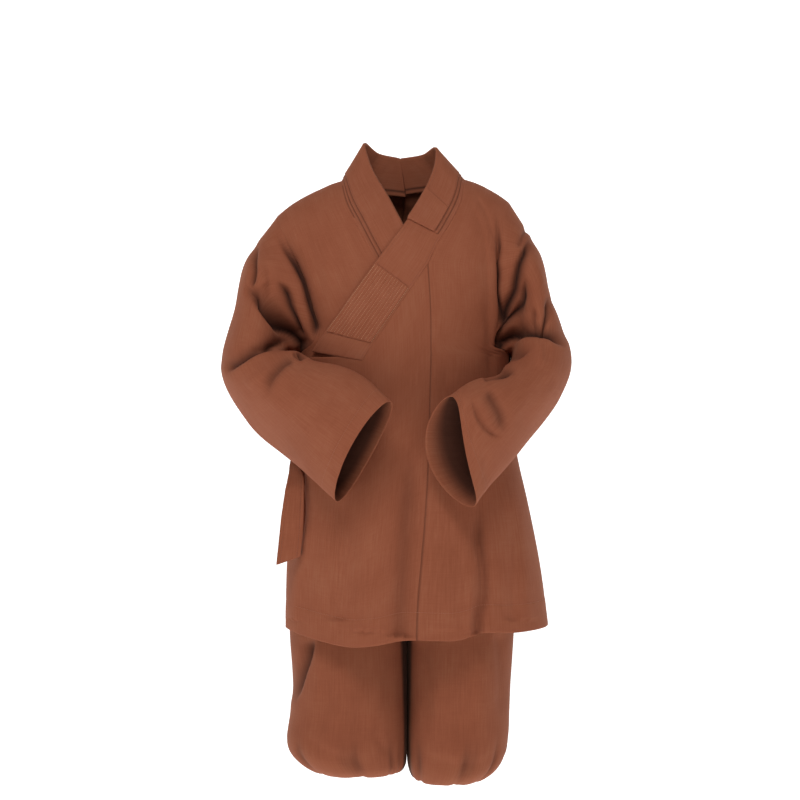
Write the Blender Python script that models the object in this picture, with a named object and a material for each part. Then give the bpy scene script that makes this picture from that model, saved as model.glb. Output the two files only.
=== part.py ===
# A monk's short robe with its trousers, hollow and in the shape it hangs in: a cross-over
# jacket with wide sleeves, a layered collar band and a side tie, over loose trousers
# gathered at the calf. Metres, +Z up, front towards -Y. The origin is level with the neck,
# where shoulders carry the robe. Right and left are the garment's own: right is -X.
import math

import bmesh
import bpy
import numpy as np

# Driving sizes
WALL = 0.002            # thickness of the cloth
SEAM_GAP = 0.0003       # between two panels at a seam
ARMPIT_Z = -0.320       # height where the armholes end and the side seams begin
CHEST_Z = -0.220        # above this the panels round over the shoulders
ROUNDNESS = 2.2         # exponent of the body's oval section, 2 is an ellipse
UNDER_LAYER = -0.0054   # how far the under front lies inside the outer front
CROTCH_Z = -0.760
RISE_TOP_Z = -0.500     # where the rise seams start to curve towards the crotch
LEG_SPLIT = 0.00015     # half the seam gap between the two halves of the trousers
ARMHOLE_GAP = 0.0005    # between a panel's edge and its sleeve, twice that at the armpit
ARMPIT_REACH = 0.03     # height over which that gap narrows
SEAM_ANGLE = 0.0016     # half the seam gap as an angle round the body
CENTRE_BACK_GAP = 0.002 # half the gap between the collar's bands at the back, as a station
NECKLINE_LENGTH = 0.22  # of the left neckline, the measure of the right one's stations

# Rows and columns of the panels' grids
DIAGONAL_COLUMNS = 9    # of the overlap, along the collar's diagonal
SIDE_COLUMNS = 10       # of the overlap, past the collar's end
OVERLAP_ROWS = 13
FRONT_COLUMNS = 13
BACK_COLUMNS = 10
BODY_ROWS = 11          # hem to armpit
YOKE_ROWS = (1, 1.011, 1.022, 1.065, 1.125, 1.2, 1.265, 1.331, 1.42, 1.52, 1.63, 1.7264, 1.772,
             1.852, 2)
CENTRE_SEAM_ROW = YOKE_ROWS[7]     # where the front's centre seam meets the collar
UNDER_BAND_ROW = YOKE_ROWS[5]      # where the under band's sewn edge ends
SLEEVE_STEPS = 3        # rings from one sleeve section to the next
SLEEVE_SPLIT = 4        # the section at the elbow where the lower sleeve is joined on
SLEEVE_GAP = 0.0009     # between the two sleeve pieces, less where the elbow bends


def table(columns, rows):
    """A short table as a dictionary of columns."""
    values = np.array(rows, dtype=float)
    return {name: values[:, i] for i, name in enumerate(columns.split())}


# Oval of the jacket at each height: its two sides, and its front and back from the middle
BODY = table("height right left front back", [
    (-0.840, -0.219, 0.264, 0.168, 0.172),
    (-0.690, -0.216, 0.244, 0.163, 0.164),
    (-0.580, -0.209, 0.222, 0.158, 0.152),
    (-0.500, -0.203, 0.204, 0.153, 0.143),
    (-0.400, -0.197, 0.193, 0.147, 0.136),
    (-0.315, -0.197, 0.190, 0.140, 0.132),
    (-0.220, -0.222, 0.207, 0.133, 0.128),
    (-0.120, -0.256, 0.236, 0.126, 0.124),
    (0.020, -0.284, 0.264, 0.122, 0.120),
])

# Line of the shoulders, seen from the front
SHOULDER = table("x height", [
    (-0.320, -0.190), (-0.286, -0.138), (-0.259, -0.088), (-0.235, -0.062), (-0.209, -0.041),
    (-0.184, -0.025), (-0.158, -0.013), (-0.118, 0.003), (-0.060, 0.010), (0.060, 0.010),
    (0.107, 0.001), (0.133, -0.008), (0.158, -0.020), (0.184, -0.037), (0.205, -0.056),
    (0.222, -0.074), (0.260, -0.130),
])

# Hem of the front, seen from the front
FRONT_HEM = table("x height", [
    (-0.219, -0.808), (-0.176, -0.817), (-0.140, -0.824), (-0.098, -0.830), (-0.050, -0.826),
    (-0.006, -0.817), (0.050, -0.817), (0.090, -0.817), (0.132, -0.806), (0.190, -0.808),
    (0.262, -0.806),
])

BACK_HEM = table("x height", [
    (-0.219, -0.808), (-0.140, -0.816), (0.000, -0.822), (0.160, -0.816), (0.264, -0.806),
])

# Seams as lines on the front, from the hem up
CENTRE_SEAM = table("x height", [
    (0.019, -0.830), (0.021, -0.760), (0.027, -0.690), (0.034, -0.610), (0.039, -0.530),
    (0.043, -0.400), (0.045, -0.330), (0.044, -0.225), (0.0396, -0.156),
])
LEFT_NECKLINE = table("x height", [
    (0.0396, -0.156), (0.0543, -0.1234), (0.0746, -0.090), (0.0986, -0.0395), (0.106, 0.0012),
])
RIGHT_NECKLINE = table("x height", [
    (-0.020, -0.205), (-0.0518, -0.148), (-0.080, -0.0933), (-0.104, -0.045), (-0.116, 0.0035),
])
UNDER_EDGE = table("x height", [
    (0.060, -0.840), (0.060, -0.420), (0.045, -0.300), (-0.020, -0.205),
])
LEFT_ARMHOLE = table("x height", [
    (0.180, -0.312), (0.160, -0.298), (0.172, -0.255), (0.172, -0.215), (0.170, -0.170),
    (0.173, -0.124), (0.178, -0.070), (0.190, -0.0415),
])
RIGHT_ARMHOLE = table("x height", [
    (-0.187, -0.312), (-0.167, -0.298), (-0.178, -0.239), (-0.190, -0.194), (-0.207, -0.145),
    (-0.222, -0.100), (-0.235, -0.062),
])
BACK_NECKLINE = table("side row", [
    (0.000, 1.7264), (0.520, 1.772), (0.850, 1.852), (1.000, 2.0),
])
CLOSING_EDGE_ANGLE = -1.36   # where the overlap ends, round the body from its front

# Collar bands: the free edge beside each station of the sewn edge. Stations run from the
# centre back, 0, to the side of the neck, 1, the end of the neckline, 2, and the band's
# end, 3. Where lies is 1 the band lies on the front, and its y is the front's own.
OVER_BAND = table("station x y height lies", [
    (0.00, -0.008, 0.060, 0.044, 0), (0.50, 0.034, 0.047, 0.050, 0),
    (1.00, 0.0575, 0.004, 0.055, 0), (1.33, 0.0523, -0.034, 0.013, 0.0),
    (1.64, 0.0279, -0.069, -0.042, 0.35), (1.83, -0.0037, -0.095, -0.0945, 1),
    (2.00, -0.0190, -0.100, -0.1150, 1), (3.00, -0.1656, -0.110, -0.3138, 1),
])
UNDER_BAND = table("station x y height lies", [
    (0.00, -0.008, 0.060, 0.044, 0), (0.50, -0.050, 0.047, 0.052, 0),
    (1.00, -0.0740, 0.004, 0.062, 0), (1.33, -0.0604, -0.034, 0.013, 0.0),
    (1.64, -0.0300, -0.069, -0.042, 0.35), (1.83, -0.0048, -0.095, -0.0906, 1),
    (2.00, 0.0180, -0.100, -0.1280, 1), (2.60, 0.0450, -0.110, -0.1800, 1),
])
OVER_BAND_END = (-0.0785, -0.3300)
OVERLAP_CORNER = (-0.1700, -0.3340)
# Columns of the collar's grid as shares of its 70 mm width. Each layer starts one later.
BAND_COLUMNS = (0.014, 0.1, 0.2, 0.4, 0.6, 0.8, 1.0)
LAYERS_END = {"over": 1.77, "under": 2.15}    # stations where the collar's layers stop
PATCH = (1.55, 1.77)      # stations of the cover over the layers' end
BANDS_END = {"over": 3, "under": 2.3}    # the under band stops below the over band
QUILTED = (2.277, 2.83)
QUILT_RIBS = 13
QUILT_EDGE = 0.02         # plain edge on each side of the ribs, as a share of the width
QUILT_RIB_HEIGHT = 0.0009

# Heights of the collar's pieces over their band's surface: outer face, inner face
BAND_FACES = (0.0002, -0.0020)
MIDDLE_FACES = (0.0017, 0.0006)
TOP_FACES = (0.0032, 0.0021)
PATCH_FACES = (0.0047, 0.0036)
QUILT_FACES = (0.0018, 0.0006)
BAND_SURFACE = {"over": 0.0, "under": -0.0070}   # over the outer front's surface

# Sleeve sections, from the armhole to the cuff: the points of the outer, front, inner and
# back lines of the sleeve. The outer line turns to the underside past the elbow.
SLEEVE_COLUMNS = ("outer_x outer_y outer_z front_x front_y front_z "
                  "inner_x inner_y inner_z back_x back_y back_z")
RIGHT_SLEEVE = table(SLEEVE_COLUMNS, [
    (-0.286, 0.004, -0.142, -0.238, -0.094, -0.188, -0.206, -0.004, -0.330, -0.232, 0.094, -0.190),
    (-0.308, -0.003, -0.240, -0.262, -0.120, -0.262, -0.203, -0.034, -0.341, -0.250, 0.086, -0.285),
    (-0.330, -0.040, -0.350, -0.264, -0.154, -0.330, -0.184, -0.084, -0.318, -0.262, 0.045, -0.378),
    (-0.285, -0.062, -0.425, -0.218, -0.188, -0.382, -0.160, -0.132, -0.335, -0.236, -0.045, -0.442),
    (-0.222, -0.098, -0.482, -0.165, -0.214, -0.423, -0.109, -0.165, -0.344, -0.178, -0.108, -0.474),
    (-0.165, -0.148, -0.535, -0.125, -0.230, -0.450, -0.064, -0.198, -0.366, -0.108, -0.154, -0.492),
    (-0.119, -0.190, -0.574, -0.090, -0.240, -0.474, -0.024, -0.236, -0.403, -0.050, -0.184, -0.500),
])
LEFT_SLEEVE = table(SLEEVE_COLUMNS, [
    (0.239, 0.002, -0.122, 0.208, -0.094, -0.175, 0.202, -0.004, -0.330, 0.208, 0.094, -0.180),
    (0.262, -0.003, -0.213, 0.236, -0.122, -0.245, 0.198, -0.034, -0.343, 0.234, 0.088, -0.266),
    (0.299, -0.038, -0.318, 0.242, -0.157, -0.318, 0.181, -0.086, -0.346, 0.252, 0.050, -0.352),
    (0.279, -0.078, -0.386, 0.212, -0.198, -0.372, 0.156, -0.146, -0.360, 0.224, -0.030, -0.420),
    (0.222, -0.125, -0.459, 0.164, -0.234, -0.418, 0.121, -0.192, -0.367, 0.186, -0.086, -0.456),
    (0.166, -0.166, -0.526, 0.124, -0.250, -0.452, 0.093, -0.226, -0.381, 0.128, -0.146, -0.488),
    (0.1145, -0.200, -0.584, 0.102, -0.247, -0.487, 0.075, -0.250, -0.394, 0.037, -0.190, -0.494),
])

# Large folds: a soft trough (depth over 0) or ridge (under 0) along a line seen from the front
FOLD_COLUMNS = "x0 z0 x1 z1 width depth"
FRONT_FOLDS = table(FOLD_COLUMNS, [
    (0.018, -0.500, -0.008, -0.830, 0.022, 0.007),
    (0.135, -0.560, 0.131, -0.830, 0.018, 0.011),
    (0.108, -0.560, 0.104, -0.830, 0.022, -0.005),
    (-0.178, -0.560, -0.200, -0.830, 0.020, -0.004),
    (-0.080, -0.560, -0.086, -0.840, 0.045, -0.008),
    (-0.168, -0.060, -0.133, -0.258, 0.020, 0.004),
    (0.190, -0.600, 0.215, -0.830, 0.025, -0.004),
])
BACK_FOLDS = table(FOLD_COLUMNS, [
    (-0.090, -0.500, -0.120, -0.840, 0.026, 0.008),
    (0.040, -0.480, 0.055, -0.840, 0.028, 0.009),
    (0.150, -0.520, 0.180, -0.840, 0.026, 0.008),
    (-0.020, -0.520, -0.030, -0.840, 0.034, -0.005),
    (-0.110, -0.140, -0.140, -0.330, 0.024, 0.006),
    (0.100, -0.140, 0.130, -0.330, 0.024, 0.006),
])
RIGHT_SLEEVE_FOLDS = table(FOLD_COLUMNS, [
    (-0.280, -0.197, -0.221, -0.255, 0.018, 0.012),
    (-0.221, -0.255, -0.176, -0.318, 0.018, 0.013),
    (-0.315, -0.350, -0.244, -0.306, 0.016, 0.008),
    (-0.244, -0.306, -0.178, -0.322, 0.016, 0.009),
    (-0.270, -0.372, -0.180, -0.420, 0.022, 0.005),
])
LEFT_SLEEVE_FOLDS = table(FOLD_COLUMNS, [
    (0.232, -0.120, 0.204, -0.160, 0.016, 0.009),
    (0.204, -0.160, 0.178, -0.262, 0.016, 0.010),
    (0.285, -0.322, 0.222, -0.300, 0.016, 0.008),
    (0.222, -0.300, 0.160, -0.345, 0.016, 0.010),
    (0.100, -0.388, 0.138, -0.446, 0.018, 0.005),
])

# Trouser legs: the oval of each at each height, from the waist to the turned-in bottom
LEG_COLUMNS = "height outer inner front back"
RIGHT_LEG = table(LEG_COLUMNS, [
    (-0.410, -0.166, -0.083, 0.112, 0.112), (-0.500, -0.178, -0.090, 0.120, 0.122),
    (-0.600, -0.192, -0.050, 0.124, 0.126), (-0.680, -0.2040, -0.020, 0.119, 0.121),
    (-0.760, -0.2102, -0.0040, 0.110, 0.112), (-0.830, -0.2090, -0.0055, 0.108, 0.110),
    (-0.900, -0.2060, -0.0050, 0.110, 0.113), (-0.960, -0.2080, -0.0040, 0.112, 0.115),
    (-1.010, -0.2150, -0.0030, 0.113, 0.116), (-1.038, -0.2090, -0.0040, 0.108, 0.111),
    (-1.060, -0.1880, -0.0110, 0.098, 0.100), (-1.0730, -0.1620, -0.0300, 0.078, 0.080),
    (-1.0680, -0.1450, -0.0450, 0.060, 0.060), (-1.0450, -0.1400, -0.0500, 0.054, 0.054),
])
LEFT_LEG = table(LEG_COLUMNS, [
    (-0.410, 0.166, 0.083, 0.112, 0.112), (-0.500, 0.178, 0.090, 0.120, 0.122),
    (-0.600, 0.192, 0.050, 0.124, 0.126), (-0.680, 0.200, 0.020, 0.120, 0.122),
    (-0.760, 0.2010, 0.0040, 0.114, 0.116), (-0.830, 0.1970, 0.0065, 0.112, 0.114),
    (-0.900, 0.1930, 0.0080, 0.112, 0.115), (-0.960, 0.1900, 0.0100, 0.113, 0.116),
    (-1.010, 0.1880, 0.0100, 0.114, 0.117), (-1.044, 0.1830, 0.0090, 0.110, 0.113),
    (-1.070, 0.1660, 0.0130, 0.100, 0.103), (-1.0860, 0.1400, 0.0220, 0.080, 0.080),
    (-1.0810, 0.1140, 0.0240, 0.058, 0.058), (-1.0580, 0.1040, 0.0230, 0.050, 0.050),
])
LEG_COLUMNS_ROUND = 18
LEG_ROWS = (0, 1, 2, 3, 3.5, 4, 4.5, 5, 6, 7, 7.6, 8.2, 8.8, 9.4, 10, 10.5, 11, 11.5, 12, 13)
WAISTBAND = (-0.370, -0.4095)     # top and bottom

# The side tie: the knot's corners on the front, and the middle line of the hanging end
# from the knot down, with its turn from the front view, half width and slanted cut
TIE_END = table("x y z turn half drop", [
    (-0.1985, -0.066, -0.5086, 0.80, 0.0095, 0), (-0.1945, -0.089, -0.540, 0.50, 0.0160, 0),
    (-0.1970, -0.100, -0.575, 0.30, 0.0180, 0), (-0.2005, -0.104, -0.625, 0.20, 0.0205, 0.0020),
    (-0.2060, -0.105, -0.683, 0.15, 0.0210, 0.0075),
])
TIE_ROWS = 12
TIE_THICKNESS = 0.0025
BACK_TIE_END = (0.0045, 0.88)     # how far the second end hangs behind, and its share of length
KNOT = table("x height", [(-0.2010, -0.5080), (-0.1810, -0.4720)])
KNOT_RISE = 0.0145
KNOT_FACES = (0.0018, 0.0005)     # its low rim and its inner face, over the front
KNOT_COLUMNS = 9
WAISTBAND_COLUMNS = 24


def smooth(at, knots, values):
    """Read a table along a smooth curve: cubics whose slopes at the knots are mean slopes."""
    knots = np.asarray(knots, dtype=float)
    values = np.asarray(values, dtype=float)
    slopes = np.gradient(values, knots, axis=0)
    at = np.clip(np.asarray(at, dtype=float), knots[0], knots[-1])
    k = np.clip(np.searchsorted(knots, at, side="right") - 1, 0, len(knots) - 2)
    step = knots[k + 1] - knots[k]
    t = (at - knots[k]) / step
    grow = (slice(None),) * np.ndim(at) + (None,) * (values.ndim - 1)
    t, step = t[grow], step[grow]
    return ((2 * t**3 - 3 * t**2 + 1) * values[k] + (t**3 - 2 * t**2 + t) * step * slopes[k]
            + (3 * t**2 - 2 * t**3) * values[k + 1] + (t**3 - t**2) * step * slopes[k + 1])


def shoulder_height(x):
    return smooth(x, SHOULDER["x"], SHOULDER["height"])


def body_oval(z):
    """Middle and half width of the jacket's oval at a height."""
    right = smooth(z, BODY["height"], BODY["right"])
    left = smooth(z, BODY["height"], BODY["left"])
    return (left + right) / 2, (left - right) / 2


def oval_rest(x, z):
    """What is left of the depth at x and z: 1 in the middle of the chest, 0 at the outline."""
    middle, half = body_oval(z)
    across = np.abs((x - middle) / half)
    up = np.maximum((z - CHEST_Z) / (shoulder_height(x) - CHEST_Z), 0)
    return (1 - across**ROUNDNESS) * (1 - up**ROUNDNESS)


def body_depth(z, front):
    return smooth(z, BODY["height"], BODY["front" if front else "back"])


def body_y(x, z, front):
    """The jacket's surface behind a point of its front or back view."""
    depth = body_depth(z, front) * np.maximum(oval_rest(x, z), 0) ** (1 / ROUNDNESS)
    return -depth if front else depth


def body_level(x, y, z):
    """Zero on the jacket's surface and growing outwards, for its normals."""
    depth = np.where(y < 0, body_depth(z, True), body_depth(z, False))
    return np.abs(y / depth) ** ROUNDNESS - oval_rest(x, z)


def body_normal(x, y, z):
    d = 0.0005
    slope = np.stack([body_level(x + d, y, z) - body_level(x - d, y, z),
                      body_level(x, y + d, z) - body_level(x, y - d, z),
                      body_level(x, y, z + d) - body_level(x, y, z - d)], axis=-1)
    return slope / np.linalg.norm(slope, axis=-1, keepdims=True)


def fold_height(x, z, folds):
    """Height of the folds: each falls off as a bell from its line."""
    total = np.zeros(np.shape(x))
    for x0, z0, x1, z1, width, depth in zip(*(folds[c] for c in FOLD_COLUMNS.split())):
        run = (x1 - x0) ** 2 + (z1 - z0) ** 2
        along = np.clip(((x - x0) * (x1 - x0) + (z - z0) * (z1 - z0)) / run, 0, 1)
        away = np.hypot(x - x0 - along * (x1 - x0), z - z0 - along * (z1 - z0))
        total -= depth * np.exp(-(away / width) ** 2)
    return total


def lay(x, z, height, front=True):
    """Points of the front or back at x and z, moved out by height and by the folds there."""
    y = body_y(x, z, front)
    out = height + fold_height(x, z, FRONT_FOLDS if front else BACK_FOLDS) * (1 - row_share(z))
    return np.stack([x, y, z], axis=-1) + body_normal(x, y, z) * np.asarray(out)[..., None]


def row_share(z):
    """Folds fade out towards the shoulders: 0 below the chest, 1 at the neck."""
    return np.clip((z - CHEST_Z) / -CHEST_Z, 0, 1) ** 2


def hem_height(x, front):
    hem = FRONT_HEM if front else BACK_HEM
    return smooth(x, hem["x"], hem["height"])


def row_height(x, row, front):
    """Height of a row at x: row 0 is the hem, 1 the armpit, 2 the shoulder line."""
    hem = hem_height(x, front)
    low = hem + (ARMPIT_Z - hem) * row
    top = np.sin(np.clip(row - 1, 0, 1) * math.pi / 2)
    return np.where(row < 1, low, ARMPIT_Z + (shoulder_height(x) - ARMPIT_Z) * top)


def row_at(x, z, front):
    """The row of a point: the reverse of row_height."""
    hem = hem_height(x, front)
    top = np.clip((z - ARMPIT_Z) / (shoulder_height(x) - ARMPIT_Z), 0, 1)
    return np.where(z < ARMPIT_Z, (z - hem) / (ARMPIT_Z - hem), 1 + np.arcsin(top) * 2 / math.pi)


def angle_at(x, z):
    """Angle round the oval from its front, or from its back, to the side."""
    middle, half = body_oval(z)
    across = np.clip((x - middle) / half, -1, 1)
    return np.arctan2(across, (1 - np.abs(across) ** ROUNDNESS) ** (1 / ROUNDNESS))


def across_at(angle):
    """Share of the half width at an angle round the oval."""
    s, c = np.sin(angle), np.cos(angle)
    return s / (np.abs(s) ** ROUNDNESS + np.abs(c) ** ROUNDNESS) ** (1 / ROUNDNESS)


def seam_angles(line, front, edge_shift=0.0):
    """A function that gives a seam line's angle at any row."""
    rows, angles = row_at(line[0], line[1], front), angle_at(line[0], line[1])
    return lambda row: np.interp(row, rows, angles) + edge_shift


def side_angles(armhole, side, edge_shift):
    """Side seam up to the armpit, then the armhole's line."""
    rows = row_at(armhole["x"], armhole["height"], True)
    angles = angle_at(armhole["x"], armhole["height"])
    rows, angles = np.append(1.0, rows), np.append(side * math.pi / 2, angles)
    return lambda row: np.interp(row, rows, angles) - side * edge_shift


def joined(*lines):
    """Lines end to end, as one pair of x and height, without the doubled points."""
    x = np.concatenate([lines[0]["x"]] + [line["x"][1:] for line in lines[1:]])
    z = np.concatenate([lines[0]["height"]] + [line["height"][1:] for line in lines[1:]])
    return x, z


def panel_domain(rows, share, start, end, front):
    """x and z of a panel's grid: along each row, angles from its start to its end line."""
    first = start(rows)
    across = across_at(first + (end(rows) - first) * share)
    z = row_height(np.zeros(across.shape), rows, front)
    for _ in range(12):
        middle, half = body_oval(z)
        x = middle + half * across
        z = row_height(x, rows, front)
    return x, z


def wall(name, outer, inner, material, round_u=False):
    """One closed solid from a grid of outer points and the same grid moved in."""
    rows, columns = outer.shape[:2]
    points = np.concatenate([outer.reshape(-1, 3), inner.reshape(-1, 3)])
    index = np.arange(rows * columns).reshape(rows, columns)
    if round_u:
        index = np.concatenate([index, index[:, :1]], axis=1)
    under = index + rows * columns
    quads = [np.stack([index[:-1, :-1], index[1:, :-1], index[1:, 1:], index[:-1, 1:]], axis=-1),
             np.stack([under[:-1, :-1], under[:-1, 1:], under[1:, 1:], under[1:, :-1]], axis=-1)]
    rims = [(index[0], under[0]), (under[-1], index[-1])]
    if not round_u:
        rims += [(under[:, 0], index[:, 0]), (index[:, -1], under[:, -1])]
    for near, far in rims:
        quads.append(np.stack([near[:-1], near[1:], far[1:], far[:-1]], axis=-1))
    faces = np.concatenate([q.reshape(-1, 4) for q in quads])
    mesh = bpy.data.meshes.new(name)
    mesh.from_pydata(points.tolist(), [], faces.tolist())
    shape = bmesh.new()
    shape.from_mesh(mesh)
    bmesh.ops.recalc_face_normals(shape, faces=shape.faces)
    shape.to_mesh(mesh)
    shape.free()
    mesh.shade_smooth()
    mesh.set_sharp_from_angle(angle=math.radians(40))
    mesh.materials.append(material)
    thing = bpy.data.objects.new(name, mesh)
    bpy.context.scene.collection.objects.link(thing)
    return thing


def cloth_material(name, colour, roughness):
    material = bpy.data.materials.new(name)
    material.use_nodes = True
    shader = material.node_tree.nodes["Principled BSDF"]
    shader.inputs["Base Color"].default_value = (*colour, 1)
    shader.inputs["Roughness"].default_value = roughness
    shader.inputs["Metallic"].default_value = 0
    return material


def grid_normals(points, round_u=False):
    """Normals of a grid from its neighbours, turned by the caller to face out."""
    if round_u:
        across = np.roll(points, -1, axis=1) - np.roll(points, 1, axis=1)
    else:
        across = np.gradient(points, axis=1)
    normals = np.cross(np.gradient(points, axis=0), across)
    return normals / np.linalg.norm(normals, axis=-1, keepdims=True)


def all_rows():
    """Rows of a whole panel: even steps up the skirt, then the rows of the yoke."""
    return np.concatenate([np.linspace(0, 1, BODY_ROWS)[:-1], YOKE_ROWS])


def part_shoulder(points, front):
    """Open the shoulder seam by moving the top row off the middle."""
    points[-1, :, 1] += -SEAM_GAP / 2 if front else SEAM_GAP / 2


def body_panel(name, columns, start, end, front, outer_height, material):
    """A front or back from hem to shoulder. Gives its outer and inner points and its grid."""
    rows = all_rows()[:, None] * np.ones(columns)
    x, z = panel_domain(rows, np.linspace(0, 1, columns), start, end, front)
    height = outer_height(x) if callable(outer_height) else np.full(x.shape, outer_height)
    outer = lay(x, z, height, front)
    inner = lay(x, z, height - WALL, front)
    part_shoulder(outer, front)
    part_shoulder(inner, front)
    wall(name, outer, inner, material)
    return {"outer": outer, "inner": inner, "x": x, "z": z}


def back_height(x):
    """The back passes from the under front's layer on the right to the outer on the left."""
    share = np.clip((-0.02 - x) / 0.06, 0, 1)
    return UNDER_LAYER * share * share * (3 - 2 * share)


def back_start(end_x):
    """Centre back seam and half the back neckline, to the shoulder's neck point."""
    x = np.append(0.0, BACK_NECKLINE["side"] * end_x)
    return x, row_height(x, np.append(0.0, BACK_NECKLINE["row"]), False)


def closing_edge(row):
    return np.full(np.shape(row), CLOSING_EDGE_ANGLE)


def overlap_panel(material):
    """The left front's overlap, from the centre seam round to its edge at the right side."""
    start = seam_angles((CENTRE_SEAM["x"], CENTRE_SEAM["height"]), True, -SEAM_ANGLE)
    corner = angle_at(*OVER_BAND_END)
    first = start(row_at(*OVER_BAND_END, True))
    turn = (corner - first) / (CLOSING_EDGE_ANGLE - first)
    share = np.concatenate([np.linspace(0, turn, DIAGONAL_COLUMNS),
                            np.linspace(turn, 1, SIDE_COLUMNS)[1:]])
    top_x = (OVERLAP_CORNER[0] - 0.05, OVERLAP_CORNER[0], OVER_BAND_END[0], CENTRE_SEAM["x"][-1])
    top_z = (OVERLAP_CORNER[1], OVERLAP_CORNER[1], OVER_BAND_END[1], CENTRE_SEAM["height"][-1])
    top = np.full(share.shape, 1.0)
    for _ in range(30):
        x, _ = panel_domain(top[None], share, start, closing_edge, True)
        top = row_at(x[0], np.interp(x[0], top_x, top_z), True)
    rows = np.linspace(0, 1, OVERLAP_ROWS)[:, None] * top
    x, z = panel_domain(rows, share, start, closing_edge, True)
    outer = lay(x, z, np.zeros(x.shape))
    inner = lay(x, z, np.full(x.shape, -WALL))
    wall("overlap_front", outer, inner, material)
    return {"x": x, "z": z}


def past_rim(outer, inner, toward):
    """Directions out of a closed rim, square to its line and to the wall, on the given side."""
    along = np.roll(outer, -1, axis=0) - np.roll(outer, 1, axis=0)
    past = np.cross(along, outer - inner)
    past /= np.linalg.norm(past, axis=1, keepdims=True)
    return past if np.sum(past * toward) > 0 else -past


def armhole_loop(front, back):
    """Points round an armhole, top, front, armpit, back, just past its two panels' edges."""
    loop = {}
    for face in ("outer", "inner"):
        f = front[face][-len(YOKE_ROWS):, -1][::-1]
        b = back[face][-len(YOKE_ROWS):, -1]
        loop[face] = np.concatenate([[(f[0] + b[-1]) / 2], f[1:-1], [(f[-1] + b[0]) / 2], b[1:-1]])
    middle = -(len(YOKE_ROWS) // 2)
    across = front["outer"][middle, -1] - front["outer"][middle, -2]
    past = past_rim(loop["outer"], loop["inner"], across)
    armpit = np.exp(-((loop["outer"][:, 2] - ARMPIT_Z) / ARMPIT_REACH) ** 2)
    past *= (ARMHOLE_GAP * (1 + armpit))[:, None]
    return loop["outer"] + past, loop["inner"] + past


def loop_angles(loop):
    """Angles of the loop's points: half a turn from top to armpit by length, and back."""
    half = len(loop) // 2
    front = np.linalg.norm(np.diff(loop[:half + 1], axis=0), axis=1).cumsum()
    back = np.linalg.norm(np.diff(np.append(loop[half:], loop[:1], axis=0), axis=0), axis=1).cumsum()
    return np.concatenate([[0], front / front[-1], 1 + back[:-1] / back[-1]]) * math.pi


def section(levels, k, angle):
    """A sleeve section through its four points: even, first and second harmonics."""
    four = [np.array([levels[f"{side}_{axis}"][k] for axis in "xyz"])
            for side in ("outer", "front", "inner", "back")]
    outer, front, inner, back = four
    angle = angle[:, None]
    return ((outer + front + inner + back) / 4 + (outer - inner) / 2 * np.cos(angle)
            + (front - back) / 2 * np.sin(angle)
            + (outer + inner - front - back) / 4 * np.cos(2 * angle))


def sleeve(name, front, back, levels, folds, material):
    """A tube from the armhole through the sections to the cuff, in two pieces joined at the elbow."""
    outer_loop, inner_loop = armhole_loop(front, back)
    angle = loop_angles(outer_loop)
    keys = [outer_loop] + [section(levels, k, angle) for k in range(len(levels["outer_x"]))]
    keys = np.array(keys)
    apart = np.linalg.norm(np.diff(keys, axis=0), axis=2).mean(axis=1)
    at = np.append(0, apart.cumsum())
    steps = np.interp(np.arange(0, len(keys) - 1 + 1e-9, 1 / SLEEVE_STEPS), np.arange(len(keys)), at)
    points = smooth(steps, at, keys)
    normals = grid_normals(points, round_u=True)
    centres = points.mean(axis=1, keepdims=True)
    if np.sum(normals * (points - centres)) < 0:
        normals = -normals
    facing = np.clip(-normals[..., 1], 0, 1)
    ramp = np.minimum(np.arange(len(points)) / 2, 1)[:, None]
    height = fold_height(points[..., 0], points[..., 2], folds) * facing * ramp
    outer = points + normals * height[..., None]
    inner = outer - normals * WALL
    outer[0], inner[0] = outer_loop, inner_loop
    split = SLEEVE_SPLIT * SLEEVE_STEPS
    wall(name + "_upper", outer[:split + 1], inner[:split + 1], material, round_u=True)
    past = past_rim(outer[split], inner[split], outer[split + 1] - outer[split]) * SLEEVE_GAP
    outer[split] += past
    inner[split] += past
    wall(name + "_lower", outer[split:], inner[split:], material, round_u=True)


def collar_stations(back, front_points, diagonal=None):
    """x, z and station of the collar's sewn edge: back neckline, neckline, diagonal."""
    x, z = [back[0]], [back[1]]
    station = [np.linspace(0, 1, len(back[0]))]
    for points, first in ((front_points, 1), (diagonal, 2)):
        if points is None:
            continue
        y = body_y(points[0], points[1], True)
        spot = np.stack([points[0], y, points[1]], axis=-1)
        length = np.append(0, np.linalg.norm(np.diff(spot, axis=0), axis=1).cumsum())
        whole = length[-1] if first == 2 or diagonal is not None else NECKLINE_LENGTH
        station.append(first + (length / whole)[1:])
        x.append(points[0][1:])
        z.append(points[1][1:])
    return {"x": np.concatenate(x), "z": np.concatenate(z), "station": np.concatenate(station)}


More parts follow.
